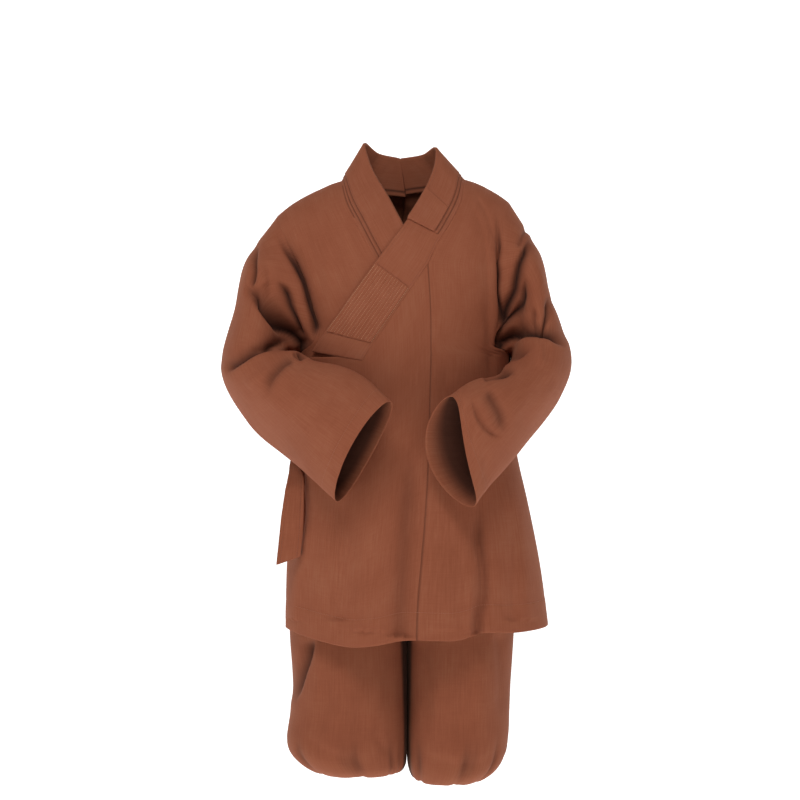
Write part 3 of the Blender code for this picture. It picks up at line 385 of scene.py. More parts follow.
# Folds of the jacket's front and back: lines in mm where the camera sees them, or as seen from
# behind for the back. Left and right are widths in mm on either side of the line's run.
armFoldRight = {"line": [(-237, -93), (-212, -147), (-194, -190), (-183, -232), (-172, -268), (-166, -294)],
                "depth": 16, "left": 13, "right": 3.5, "sharp": 1.3, "fade": (0.35, 0.14)}
armFoldLeft = {"line": [(167, -52), (170, -88), (173, -128), (176, -166), (177, -206), (180, -245),
                        (177, -280), (174, -306)],
               "depth": 15, "left": 4.5, "right": 5.5, "sharp": 1.4, "fade": (0.4, 0.0)}
bodyFolds = {
    "front": [
        armFoldRight, armFoldLeft,
        # a narrow groove beside the hanging tie, whose painted shade is made four times as strong
        {"line": [(-186, -520), (-187, -600), (-190, -684)], "depth": 6, "left": 2.5, "right": 2.5,
         "fade": (0.05, 0.05),
         "shade": 4.0},
        {"line": [(122, -16), (148, -57), (166, -121)], "depth": 2.6, "left": 5, "right": 9, "sharp": 1.5},
        {"line": [(109, -20), (140, -84), (151, -176), (158, -253)], "depth": 2.0, "left": 6, "right": 12,
         "sharp": 1.6},
        {"line": [(150, -200), (156, -300), (160, -380)], "depth": 3.5, "left": 9, "right": 9},
        {"line": [(-150, -52), (-128, -130), (-118, -230), (-128, -300)], "depth": 3.2, "left": 16,
         "right": 16},
        {"line": [(-196, -80), (-168, -140), (-150, -220)], "depth": 2.6, "left": 12, "right": 12},
        {"line": [(-98, -60), (-80, -110), (-72, -160)], "depth": 1.6, "left": 12, "right": 14},
        {"line": [(14, -460), (6, -560), (0, -640), (-6, -742), (-10, -830)], "depth": 9, "left": 20,
         "right": 17,
         "fade": (0.35, 0.0), "shade": 0.5},
        {"line": [(138, -560), (135, -641), (144, -708), (145, -760), (136, -792), (135, -826)], "depth": 12,
         "left": 10, "right": 11, "sharp": 1.6, "fade": (0.35, 0.0), "shade": 0.35},
        {"line": [(120, -690), (118, -760), (115, -826)], "depth": -5, "left": 10, "right": 10,
         "fade": (0.5, 0.0)},
        {"line": [(-160, -600), (-182, -660), (-196, -760), (-200, -800)], "depth": -4.5, "left": 12,
         "right": 16,
         "fade": (0.4, 0.0)},
        {"line": [(-178, -560), (-196, -640), (-208, -720)], "depth": 3.5, "left": 9, "right": 9},
        {"line": [(-110, -560), (-118, -680), (-124, -800)], "depth": 3.5, "left": 22, "right": 18,
         "fade": (0.5, 0.0)},
        {"line": [(-60, -520), (-64, -660), (-72, -820)], "depth": -5.5, "left": 26, "right": 30,
         "fade": (0.5, 0.0)},
        {"line": [(66, -600), (72, -700), (70, -820)], "depth": -3, "left": 24, "right": 24,
         "fade": (0.5, 0.0)},
        {"line": [(180, -480), (205, -640), (222, -800)], "depth": -4, "left": 16, "right": 20,
         "fade": (0.4, 0.0)},
        {"line": [(190, -560), (200, -680), (196, -800)], "depth": 3.5, "left": 12, "right": 12,
         "fade": (0.4, 0.0)},
        {"line": [(60, -330), (90, -390), (140, -430)], "depth": 3, "left": 14, "right": 18},
        {"line": [(-90, -370), (-40, -410), (0, -450)], "depth": 2.5, "left": 14, "right": 16},
    ],
    "back": [
        {"line": [(-90, -500), (-104, -660), (-120, -840)], "depth": 10, "left": 17, "right": 20,
         "sharp": 1.7,
         "fade": (0.4, 0.0)},
        {"line": [(40, -480), (48, -660), (55, -840)], "depth": 11, "left": 18, "right": 18, "sharp": 1.7,
         "fade": (0.4, 0.0)},
        {"line": [(150, -520), (166, -680), (180, -840)], "depth": 9, "left": 16, "right": 18,
         "fade": (0.4, 0.0)},
        {"line": [(-20, -520), (-25, -680), (-30, -840)], "depth": -6, "left": 24, "right": 24,
         "fade": (0.4, 0.0)},
        {"line": [(100, -560), (112, -700), (120, -840)], "depth": -4.5, "left": 20, "right": 20,
         "fade": (0.4, 0.0)},
        {"line": [(-150, -600), (-164, -720), (-176, -840)], "depth": -4.5, "left": 20, "right": 20,
         "fade": (0.4, 0.0)},
        {"line": [(-118, -100), (-124, -190), (-146, -300), (-152, -360)], "depth": 8, "left": 14,
         "right": 9, "sharp": 1.6},
        {"line": [(112, -100), (116, -200), (132, -310), (140, -370)], "depth": 8, "left": 9, "right": 14,
         "sharp": 1.6},
        {"line": [(-60, -90), (-56, -200), (-60, -320)], "depth": 2.5, "left": 20, "right": 20},
        {"line": [(60, -80), (58, -190), (50, -330)], "depth": 2.5, "left": 20, "right": 20},
        {"line": [(-150, -380), (-60, -420), (30, -400), (130, -430)], "depth": 3.0, "left": 16, "right": 22},
        {"line": [(-60, -20), (0, -40), (60, -18)], "depth": 2.0, "left": 10, "right": 16},
    ],
}
bodyUneven = {"seed": 11, "height": 0.55 * mm, "shortest": 24 * mm, "longest": 150 * mm, "spread": 0.7}


def bodySurface(x, z, height, front):
    # the oval's points moved out along its normals by the folds, the weave's unevenness, the
    # thicker hem and the gathers along its stitching
    y = bodyY(x, z, front)
    points = np.stack([x, y, z], axis=-1)
    normals = bodyNormal(x, y, z)
    middle, half = bodyOval(z)
    side = ease((1 - np.abs((x - middle) / half)) / 0.05)
    seen = asSeen(points) if front else (x, z)
    folds = foldHeight(*seen, bodyFolds["front" if front else "back"])
    up = np.clip((z - body["chest"]) / (shoulderHeight(x) - body["chest"]), 0, 1)
    folds = folds * side * (1 - ease((up - 0.8) / 0.2))
    uneven = unevenness(x, z, bodyUneven["seed"] + front, bodyUneven["shortest"], bodyUneven["longest"],
                        bodyUneven["spread"])
    above = z - hemHeight(x, front)
    hem = 0.35 * mm * ease((body["hemDepth"] - above) / (1.5 * mm) + 0.5)
    hem = hem + puckers(above - body["hemDepth"], x, 15 * mm, 0.22 * mm, 9 * mm)
    out = height + folds + uneven * bodyUneven["height"] * side + hem
    return points + normals * out[..., None], normals


def seamAngles(line, front, shift=0.0):
    # a function that gives a seam line's angle at any row
    rows, angles = rowAt(line["x"], line["height"], front), angleAt(line["x"], line["height"])
    return lambda row: np.interp(row, rows, angles) + shift


def sideAngles(armhole, side):
    # the side seam up to the armpit, then the armhole's line
    rows = np.append(1.0, rowAt(armhole["x"], armhole["height"], True))
    angles = np.append(side * math.pi / 2, angleAt(armhole["x"], armhole["height"]))
    return lambda row: np.interp(row, rows, angles)


def joined(*lines):
    return {name: np.concatenate([lines[0][name]] + [line[name][1:] for line in lines[1:]])
            for name in ("x", "height")}


def panelDomain(rows, share, start, end, front):
    # x and z of a grid whose rows run from a start line's angle to an end line's
    first = start(rows)
    across = acrossAt(first + (end(rows) - first) * share)
    z = rowHeight(np.zeros(across.shape), rows, front)
    for _ in range(12):
        middle, half = bodyOval(z)
        x = middle + half * across
        z = rowHeight(x, rows, front)
    return x, z


seams = {
    "centre": table("x height", [
        (0.019, -0.830), (0.021, -0.760), (0.027, -0.690), (0.034, -0.610), (0.039, -0.530),
        (0.043, -0.400), (0.045, -0.330), (0.044, -0.225), (0.0396, -0.156),
    ]),
    "leftNeck": table("x height", [
        (0.0396, -0.156), (0.0543, -0.1234), (0.0746, -0.090), (0.0986, -0.0395), (0.106, 0.0012),
    ]),
    "rightNeck": table("x height", [
        (-0.020, -0.205), (-0.0518, -0.148), (-0.080, -0.0933), (-0.104, -0.045), (-0.116, 0.0035),
    ]),
    "underEdge": table("x height", [
        (0.060, -0.840), (0.060, -0.420), (0.045, -0.300), (-0.020, -0.205),
    ]),
    "leftArmhole": table("x height", [
        (0.180, -0.312), (0.160, -0.298), (0.172, -0.255), (0.172, -0.215), (0.170, -0.170),
        (0.173, -0.124), (0.178, -0.070), (0.190, -0.0415),
    ]),
    "rightArmhole": table("x height", [
        (-0.187, -0.312), (-0.167, -0.298), (-0.178, -0.239), (-0.190, -0.194), (-0.207, -0.145),
        (-0.222, -0.100), (-0.235, -0.062),
    ]),
    "backNeck": table("side row", [
        (0.000, 1.7264), (0.520, 1.772), (0.850, 1.852), (1.000, 2.0),
    ]),
    "lap": 0.0012,           # by which a panel runs under its neighbour, as an angle
    "shade": 0.5,            # painted shade at the centre seams, where the two edges turn in
    "centreRow": 1.331,      # where the front's centre seam meets the collar
    "underBandRow": 1.2,
}
skirtRows, yokeRows = 150, 100


def allRows():
    fixed = [seams["centreRow"], seams["underBandRow"], *seams["backNeck"]["row"][:-1]]
    return np.unique(np.round(np.concatenate([np.linspace(0, 1, skirtRows), np.linspace(1, 2, yokeRows),
                                              fixed]), 6))


def backHeight(x):
    # the back passes from the under front's layer on the right to the outer one on the left
    return cloth["underLayer"] * ease((-0.02 - x) / 0.06)


def backStart(endX):
    # the centre back seam and half the back neckline, to the shoulder's neck point
    side = np.append(0, readSmooth(np.linspace(0, 1, 24), np.linspace(0, 1, 4), seams["backNeck"]["side"]))
    row = np.append(0, readSmooth(np.linspace(0, 1, 24), np.linspace(0, 1, 4), seams["backNeck"]["row"]))
    x = side * endX
    return {"x": x, "height": rowHeight(x, row, False)}


def bodyPanel(name, columns, start, end, front, height, material):
    # a front or back from hem to shoulder, with the points of its plain oval kept for the sleeve
    rows = allRows()[:, None] * np.ones(columns)
    x, z = panelDomain(rows, np.linspace(0, 1, columns), start, end, front)
    lift = height(x) if callable(height) else np.full(x.shape, height)
    points, normals = bodySurface(x, z, lift, front)
    plain = np.stack([x, bodyY(x, z, front), z], axis=-1) + normals * lift[..., None]
    seen = asSeen(points) if front else (x, z)
    # painted shade in the deep folds, weaker on the back, and along the centre seam's edge
    paintedShade = foldShapes(*seen, bodyFolds["front" if front else "back"])[1] * (1.0 if front else 0.35)
    paintedShade[:, 0] = np.maximum(paintedShade[:, 0], seams["shade"])
    piece = clothPiece(name, points, cloth["thickness"], material, paintedShade=paintedShade,
                       turn=1 if np.sum(gridNormals(points) * normals) > 0 else -1)
    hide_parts(name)
    return {"piece": piece, "points": points, "normals": normals, "plain": plain, "x": x, "z": z}


sleeves = {
    "columns": 192,          # points round a sleeve
    "rows": 176,
    "tuck": 2.5 * mm,        # by which a sleeve runs under the panels at its armhole
    "right": table(("outer_x outer_y outer_z front_x front_y front_z "
                      "inner_x inner_y inner_z back_x back_y back_z"), [
        (-0.286, 0.004, -0.142, -0.238, -0.094, -0.188, -0.206, -0.004, -0.330, -0.232, 0.094, -0.190),
        (-0.308, -0.003, -0.240, -0.262, -0.120, -0.262, -0.203, -0.034, -0.341, -0.250, 0.086, -0.285),
        (-0.330, -0.040, -0.350, -0.264, -0.154, -0.330, -0.184, -0.084, -0.318, -0.262, 0.045, -0.378),
        (-0.285, -0.062, -0.425, -0.218, -0.188, -0.382, -0.160, -0.132, -0.335, -0.236, -0.045, -0.442),
        (-0.222, -0.098, -0.482, -0.165, -0.214, -0.423, -0.109, -0.165, -0.344, -0.178, -0.108, -0.474),
        (-0.165, -0.148, -0.535, -0.125, -0.230, -0.450, -0.064, -0.198, -0.366, -0.108, -0.154, -0.492),
        (-0.119, -0.190, -0.574, -0.090, -0.240, -0.474, -0.024, -0.236, -0.403, -0.060, -0.186, -0.498),
    ]),
    "left": table(("outer_x outer_y outer_z front_x front_y front_z "
                      "inner_x inner_y inner_z back_x back_y back_z"), [
        (0.239, 0.002, -0.122, 0.208, -0.094, -0.175, 0.190, -0.004, -0.333, 0.208, 0.094, -0.180),
        (0.262, -0.003, -0.213, 0.236, -0.122, -0.245, 0.182, -0.034, -0.345, 0.234, 0.088, -0.266),
        (0.299, -0.038, -0.318, 0.242, -0.157, -0.318, 0.176, -0.086, -0.343, 0.252, 0.050, -0.352),
        (0.279, -0.078, -0.386, 0.212, -0.198, -0.372, 0.156, -0.146, -0.360, 0.224, -0.030, -0.420),
        (0.222, -0.125, -0.459, 0.164, -0.234, -0.418, 0.121, -0.192, -0.367, 0.186, -0.086, -0.456),
        (0.166, -0.166, -0.526, 0.124, -0.250, -0.452, 0.093, -0.226, -0.381, 0.128, -0.146, -0.488),
        (0.1145, -0.200, -0.584, 0.102, -0.247, -0.487, 0.075, -0.250, -0.394, 0.037, -0.190, -0.494),
    ]),
    "uneven": {"seed": 31, "height": 0.5 * mm, "shortest": 22 * mm, "longest": 120 * mm, "spread": 0.8},
    "cuffHem": 30 * mm,
}
sleeveFolds = {
    "right": [
        armFoldRight,
        {"line": [(-267, -109), (-275, -139), (-276, -167), (-281, -196)], "depth": 12, "left": 5,
         "right": 4.5,
         "sharp": 1.5, "fade": (0.4, 0.2)},
        {"line": [(-290, -184), (-286, -203), (-268, -225), (-234, -265), (-212, -290), (-186, -316),
                  (-178, -326)],
         "depth": 23, "left": 22, "right": 3.5, "sharp": 1.3, "fade": (0.25, 0.1)},
        {"line": [(-236, -182), (-216, -196), (-205, -232), (-197, -262), (-191, -292)], "depth": 15,
         "left": 4,
         "right": 11, "sharp": 1.4, "fade": (0.3, 0.1)},
        {"line": [(-255, -140), (-245, -180), (-240, -220)], "depth": 3.5, "left": 8, "right": 8},
        {"line": [(-329, -352), (-307, -336), (-272, -313), (-250, -305), (-208, -297), (-196, -300)],
         "depth": 12,
         "left": 16, "right": 3, "sharp": 1.3, "fade": (0.12, 0.25)},
        {"line": [(-290, -312), (-268, -302), (-244, -299), (-210, -294)], "depth": 8, "left": 5, "right": 6,
         "sharp": 1.5},
        {"line": [(-205, -311), (-196, -318), (-182, -324)], "depth": 8, "left": 5, "right": 5, "sharp": 1.6},
        {"line": [(-198, -322), (-217, -330), (-235, -348), (-248, -368), (-248, -396)], "depth": 9,
         "left": 8,
         "right": 11, "sharp": 1.7, "fade": (0.15, 0.4)},
        {"line": [(-300, -372), (-262, -360), (-236, -330)], "depth": -3.5, "left": 12, "right": 12},
        {"line": [(-190, -350), (-150, -380), (-120, -420)], "depth": 2.5, "left": 18, "right": 18},
        {"line": [(-280, -400), (-225, -440), (-170, -500)], "depth": 2.5, "left": 12, "right": 16},
        {"line": [(-170, -470), (-140, -500), (-120, -545)], "depth": 2, "left": 9, "right": 9},
    ],
    "left": [
        armFoldLeft,
        {"line": [(229, -79), (216, -102), (204, -125)], "depth": 7, "left": 5, "right": 6, "sharp": 1.5},
        {"line": [(233, -100), (220, -122), (208, -145), (199, -182), (195, -205), (191, -215), (183, -239),
                  (176, -262)],
         "depth": 15, "left": 11, "right": 4, "sharp": 1.35, "fade": (0.15, 0.1)},
        {"line": [(220, -172), (212, -195), (206, -225), (191, -255), (179, -275), (176, -300)],
         "depth": 15, "left": 9,
         "right": 4.5, "sharp": 1.4, "fade": (0.3, 0.0)},
        {"line": [(262, -205), (263, -244), (247, -275), (238, -284)], "depth": 12, "left": 5, "right": 9,
         "sharp": 1.4,
         "fade": (0.3, 0.1)},
        {"line": [(236, -230), (226, -262), (220, -280)], "depth": 7, "left": 6, "right": 6, "sharp": 1.5},
        {"line": [(247, -160), (240, -200), (232, -240)], "depth": -4, "left": 9, "right": 9},
        {"line": [(172, -313), (190, -298), (208, -284), (235, -280), (262, -284), (296, -304)],
         "depth": 16, "left": 17,
         "right": 3, "sharp": 1.3, "fade": (0.05, 0.2)},
        {"line": [(156, -346), (188, -329), (221, -312), (232, -306)], "depth": 9.5, "left": 10,
         "right": 3.5, "sharp": 1.4,
         "fade": (0.1, 0.4)},
        {"line": [(233, -287), (244, -305), (246, -344)], "depth": -4, "left": 8, "right": 10},
        {"line": [(140, -356), (156, -352), (176, -350), (206, -346)], "depth": 16, "left": 9, "right": 7,
         "sharp": 1.5,
         "fade": (0.1, 0.5)},
        {"line": [(148, -376), (165, -405), (178, -434), (178, -462)], "depth": 9, "left": 9, "right": 13,
         "sharp": 1.8,
         "fade": (0.2, 0.3)},
        {"line": [(120, -391), (139, -444), (160, -464), (178, -468)], "depth": 6, "left": 9, "right": 2.5,
         "sharp": 1.4,
         "fade": (0.4, 0.2)},
        {"line": [(270, -330), (240, -400), (200, -470)], "depth": 2.5, "left": 14, "right": 14},
        {"line": [(140, -480), (150, -530), (146, -560)], "depth": 2, "left": 9, "right": 9},
    ],
}
# Folds of the sleeves' hidden sides, by the turn round the sleeve, 0 to 1 from its outer line
# through its front, and by the share of its length
hiddenFolds = {
    "right": table("turn0 share0 turn1 share1 wide depth", [
        (0.62, 0.12, 0.80, 0.40, 0.030, 7), (0.70, 0.10, 0.92, 0.42, 0.028, 6),
        (0.86, 0.44, 0.60, 0.50, 0.022, 8),
        (0.96, 0.50, 0.66, 0.58, 0.024, 7), (0.72, 0.62, 0.80, 0.95, 0.035, 3),
        (0.90, 0.14, 0.97, 0.40, 0.030, 4),
        (0.55, 0.30, 0.66, 0.52, 0.030, 5), (0.60, 0.66, 0.58, 0.96, 0.030, 3),
    ]),
    "left": table("turn0 share0 turn1 share1 wide depth", [
        (0.60, 0.10, 0.78, 0.42, 0.028, 7), (0.72, 0.14, 0.94, 0.40, 0.030, 6),
        (0.88, 0.42, 0.62, 0.52, 0.022, 8),
        (0.95, 0.52, 0.68, 0.60, 0.024, 6), (0.70, 0.62, 0.78, 0.94, 0.035, 3),
        (0.90, 0.10, 0.98, 0.36, 0.030, 4),
        (0.56, 0.34, 0.68, 0.50, 0.030, 5), (0.60, 0.70, 0.56, 0.96, 0.030, 3),
    ]),
}


def armholeLoop(front, back, key):
    # points round an armhole: top, front, armpit, back, from the edges of its two panels
    high = front["z"][:, -1] >= body["armpit"] - 0.1 * mm
    f, b = front[key][high, -1][::-1], back[key][high, -1]
    return np.concatenate([[(f[0] + b[-1]) / 2], f[1:-1], [(f[-1] + b[0]) / 2], b[1:-1]])


def loopAngles(loop):
    # half a turn from top to armpit by length, and half a turn back
    half = len(loop) // 2
    front = np.linalg.norm(np.diff(loop[:half + 1], axis=0), axis=1).cumsum()
    back = np.linalg.norm(np.diff(np.append(loop[half:], loop[:1], axis=0), axis=0), axis=1).cumsum()
    return np.concatenate([[0], front / front[-1], 1 + back / back[-1]]) * math.pi


def sleeveSection(levels, k, angle):
    # a section through its four points: the middle, first and second harmonics of the turn
    outer, front, inner, back = (np.array([levels[f"{side}_{axis}"][k] for axis in "xyz"])
                                 for side in ("outer", "front", "inner", "back"))
    angle = angle[:, None]
    return ((outer + front + inner + back) / 4 + (outer - inner) / 2 * np.cos(angle)
            + (front - back) / 2 * np.sin(angle) + (outer + inner - front - back) / 4 * np.cos(2 * angle))


def makeSleeve(name, side, front, back, material):
    # a tube from the armhole through the sections to the cuff, moved out by its folds
    levels = sleeves[side]
    angle = np.linspace(0, 2 * math.pi, sleeves["columns"], endpoint=False)
    plain = armholeLoop(front, back, "plain")
    read = loopAngles(plain)
    loops = {}
    for key in ("plain", "points", "normals"):
        loop = armholeLoop(front, back, key)
        loop = np.append(loop, loop[:1], axis=0)
        loops[key] = np.stack([np.interp(angle, read, loop[:, i]) for i in range(3)], axis=-1)
    keys = np.array([loops["plain"]] + [sleeveSection(levels, k,
                                                      angle) for k in range(len(levels["outer_x"]))])
    at = np.append(0, np.linalg.norm(np.diff(keys, axis=0), axis=2).mean(axis=1).cumsum())
    steps = np.concatenate([np.linspace(0, 12 * mm, 6)[:-1],
                            np.linspace(12 * mm, at[-1], sleeves["rows"] - 5)])
    points = readSmooth(steps, at, keys)
    normals = gridNormals(points, True)
    if np.sum(normals * (points - points.mean(axis=1, keepdims=True))) < 0:
        normals = -normals
    share = (steps / at[-1])[:, None] * np.ones(len(angle))
    turn = (angle / (2 * math.pi))[None] * np.ones((len(steps), 1))
    facing = ease((-normals[..., 1] + 0.25) / 0.5)
    # the folds, and the painted shade in the deep ones, on the side that faces the front
    out, paintedShade = (f * facing for f in foldShapes(*asSeen(points), sleeveFolds[side]))
    hidden = hiddenFolds[side]
    for t0, s0, t1, s1, wide, depth in zip(*(hidden[c] for c in ("turn0", "share0", "turn1", "share1",
                                                                 "wide", "depth"))):
        reach = (t1 - t0) ** 2 + (s1 - s0) ** 2
        along = np.clip(((turn - t0) * (t1 - t0) + (share - s0) * (s1 - s0)) / reach, 0, 1)
        away = np.hypot(turn - t0 - along * (t1 - t0), share - s0 - along * (s1 - s0))
        out -= (depth * mm * np.exp(-(away / wide) ** 1.6) * ease(along * 4) * ease((1 - along) * 4)
                * (1 - facing))
    underArm = np.exp(-((turn - 0.5) / 0.09) ** 2) * np.exp(-((share - 0.24) / 0.24) ** 4)
    out = np.where(out < 0, out * (1 - 0.85 * underArm), out)
    uneven = sleeves["uneven"]
    girth = np.linalg.norm(np.diff(points, axis=1), axis=2).sum(axis=1).mean()
    out += unevenness(np.cos(turn * 2 * math.pi) * girth / 6,
                      steps[:, None] + np.sin(turn * 2 * math.pi) * girth / 6,
                      uneven["seed"] + (side == "left"), uneven["shortest"], uneven["longest"],
                      uneven["spread"]) * uneven["height"]
    fromCuff = at[-1] - steps[:, None]
    out += puckers(fromCuff - sleeves["cuffHem"], turn * girth, 14 * mm, 0.2 * mm, 8 * mm)
    out += 0.3 * mm * ease((sleeves["cuffHem"] - fromCuff) / (1.5 * mm) + 0.5)
    points = points + normals * out[..., None]
    # painted shade on the sleeve's inner face, darker the further in from the cuff
    fromCuffPaintedShade = 0.8 * ease((fromCuff - 1 * mm) / (26 * mm)) + 0.12 * ease(fromCuff / (90 * mm))
    settle = np.exp(-(steps / (14 * mm)) ** 2)[:, None, None]
    points += (loops["points"] - points[0]) * settle
    inward = -loops["normals"]
    along = points[3] - points[0]
    along /= np.linalg.norm(along, axis=1, keepdims=True)
    tuck = points[0] - along * sleeves["tuck"] + inward * cloth["thickness"] * 1.1
    points[0] += inward * 0.25 * mm
    points = np.concatenate([tuck[None], points])
    paintedShade = np.concatenate([paintedShade[:1], paintedShade])
    paintedInnerShade = np.concatenate([fromCuffPaintedShade[:1], fromCuffPaintedShade]) * np.ones(len(angle))
    finalNormals = gridNormals(points, True)
    turned = 1 if np.sum(finalNormals[1:] * normals) > 0 else -1
    piece = clothPiece(name, points, cloth["thickness"], material, closedRound=True,
                       turn=turned,
                       paintedShade=paintedShade, paintedInnerShade=paintedInnerShade)
    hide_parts(name + "_upper", name + "_lower")
    return {"piece": piece, "points": points, "normals": finalNormals * turned, "fromCuff": fromCuff}


# The collar is a band sewn to the neckline, with two layers over its neck stretch, a cross
# cover where they end, and a quilted stretch further down. Stations run along its sewn edge
# from the centre back, 0, to the side of the neck, 1, the centre seam, 2, and its end, 3.
collar = {
    "bottom": -2.0 * mm,      # of the band and what it carries, under its surface
    "neckLength": 0.22,
    "over": table("station x y height lies", [
        (0.00, -0.008, 0.060, 0.044, 0), (0.50, 0.034, 0.047, 0.050, 0),
        (1.00, 0.0575, 0.004, 0.055, 0), (1.33, 0.0523, -0.034, 0.013, 0.0),
        (1.64, 0.0279, -0.069, -0.042, 0.35), (1.83, -0.0037, -0.095, -0.0945, 1),
        (2.00, -0.0190, -0.100, -0.1150, 1), (3.00, -0.1656, -0.110, -0.3138, 1),
    ]),
    "under": table("station x y height lies", [
        (0.00, -0.008, 0.060, 0.044, 0), (0.50, -0.050, 0.047, 0.052, 0),
        (1.00, -0.0740, 0.004, 0.062, 0), (1.33, -0.0604, -0.034, 0.013, 0.0),
        (1.64, -0.0300, -0.069, -0.042, 0.35), (1.83, -0.0048, -0.095, -0.0906, 1),
        (2.00, 0.0180, -0.100, -0.1280, 1), (2.60, 0.0450, -0.110, -0.1800, 1),
    ]),
    "overEnd": (-0.0785, -0.3300),
    "overlapCorner": (-0.1700, -0.3340),
    "surface": {"over": 0.0, "under": -0.0070},
    "layersEnd": {"over": 1.77, "under": 2.15},
    "patch": (1.55, 1.77),
    "bandsEnd": {"over": 3, "under": 2.3},
    "quilted": (2.277, 2.83),
    "ribs": 13,
    "ribHeight": 1.1 * mm,
    "quiltEdge": 0.02,
    "lap": -0.03,            # the band laps over the panel's edge, as a share of its width
}


def bandStations(back, frontLine, diagonal=None):
    # x, height and station of the sewn edge: back neckline, neckline, diagonal
    x, z, station = [back[0]], [back[1]], [np.linspace(0, 1, len(back[0]))]
    for line, first in ((frontLine, 1), (diagonal, 2)):
        if line is None:
            continue
        spot = np.stack([line[0], bodyY(line[0], line[1], True), line[1]], axis=-1)
        length = np.append(0, np.linalg.norm(np.diff(spot, axis=0), axis=1).cumsum())
        whole = length[-1] if first == 2 or diagonal is not None else collar["neckLength"]
        station.append(first + (length / whole)[1:])
        x.append(line[0][1:])
        z.append(line[1][1:])
    return {"x": np.concatenate(x), "z": np.concatenate(z), "station": np.concatenate(station)}


def bandSurface(edge, side, stations, shares, lift):
    # points of the band at its stations and shares of its width, from the sewn edge to the free
    # edge, standing round the neck and lying on the front further down, moved out by lift
    band, surface = collar[side], collar["surface"][side]
    x, z = (np.interp(stations, edge["station"], edge[c]) for c in "xz")
    y = np.where(stations < 1, bodyY(x, z, False), bodyY(x, z, True))
    sewn = np.stack([x, y, z], axis=-1) + bodyNormal(x, y, z) * surface
    free = np.stack([readSmooth(stations, band["station"], band[c]) for c in ("x", "y", "height")], axis=-1)
    lies = np.interp(stations, band["station"], band["lies"])[:, None, None]
    straight = sewn[:, None] + (free - sewn)[:, None] * np.asarray(shares)[:, None]
    lying = straight.copy()
    lying[..., 1] = bodyY(straight[..., 0], straight[..., 2], True)
    outward = bodyNormal(*np.moveaxis(lying, -1, 0))
    points = straight + (lying + outward * surface - straight) * lies
    own = gridNormals(points)
    if np.sum(own * outward * lies) < 0:
        own = -own
    normals = own + (outward - own) * lies
    normals[0, :, 0] = 0
    normals /= np.linalg.norm(normals, axis=-1, keepdims=True)
    up = np.clip((lying[..., 2] - body["chest"]) / -body["chest"], 0, 1)
    folds = foldHeight(*asSeen(lying), bodyFolds["front"]) * (1 - up**2)
    uneven = unevenness(stations[:, None] * 0.2 + 0 * up, np.asarray(shares) * 0.07 + 0 * up, 71, 0.02,
                        0.12, 1.0)
    out = folds * lies[..., 0] + uneven * 0.35 * mm + lift
    return points + normals * out[..., None], normals


def bandPiece(name, edge, side, span, shares, faces, material, relief=None, wrap=False, steps=None,
              shade=None):
    # a piece of the collar between two stations: outer and inner faces over the band's surface;
    # where it wraps, its free edge turns over the layers below it. Painted shade lies beside the step up
    # to the next layer, at a share of the width and up to a station
    stations = np.linspace(span[0], span[1], steps or max(12, int((span[1] - span[0]) * 75)))
    shares = np.asarray(shares)
    high = np.full((len(stations), len(shares)), faces[0])
    low = np.full(high.shape, faces[1])
    if relief is not None:
        high = high + relief
    if wrap:
        over = ease((shares - 0.985) / 0.01)
        low = low + (collar["bottom"] - low) * over
    outer, normals = bandSurface(edge, side, stations, shares, high)
    inner, _ = bandSurface(edge, side, stations, shares, low)
    # painted shade beside the step up to the next layer
    paintedShade = np.zeros(high.shape)
    if shade is not None:
        paintedShade += 0.9 * np.exp(-((shares - shade[0]) / 0.03) ** 2) * (stations < shade[1])[:, None]
    piece = clothPiece(name, outer, cloth["thickness"], material, inner=inner, paintedShade=paintedShade)
    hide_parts(name)
    return {"piece": piece, "outer": outer, "normals": normals, "stations": stations, "shares": shares}


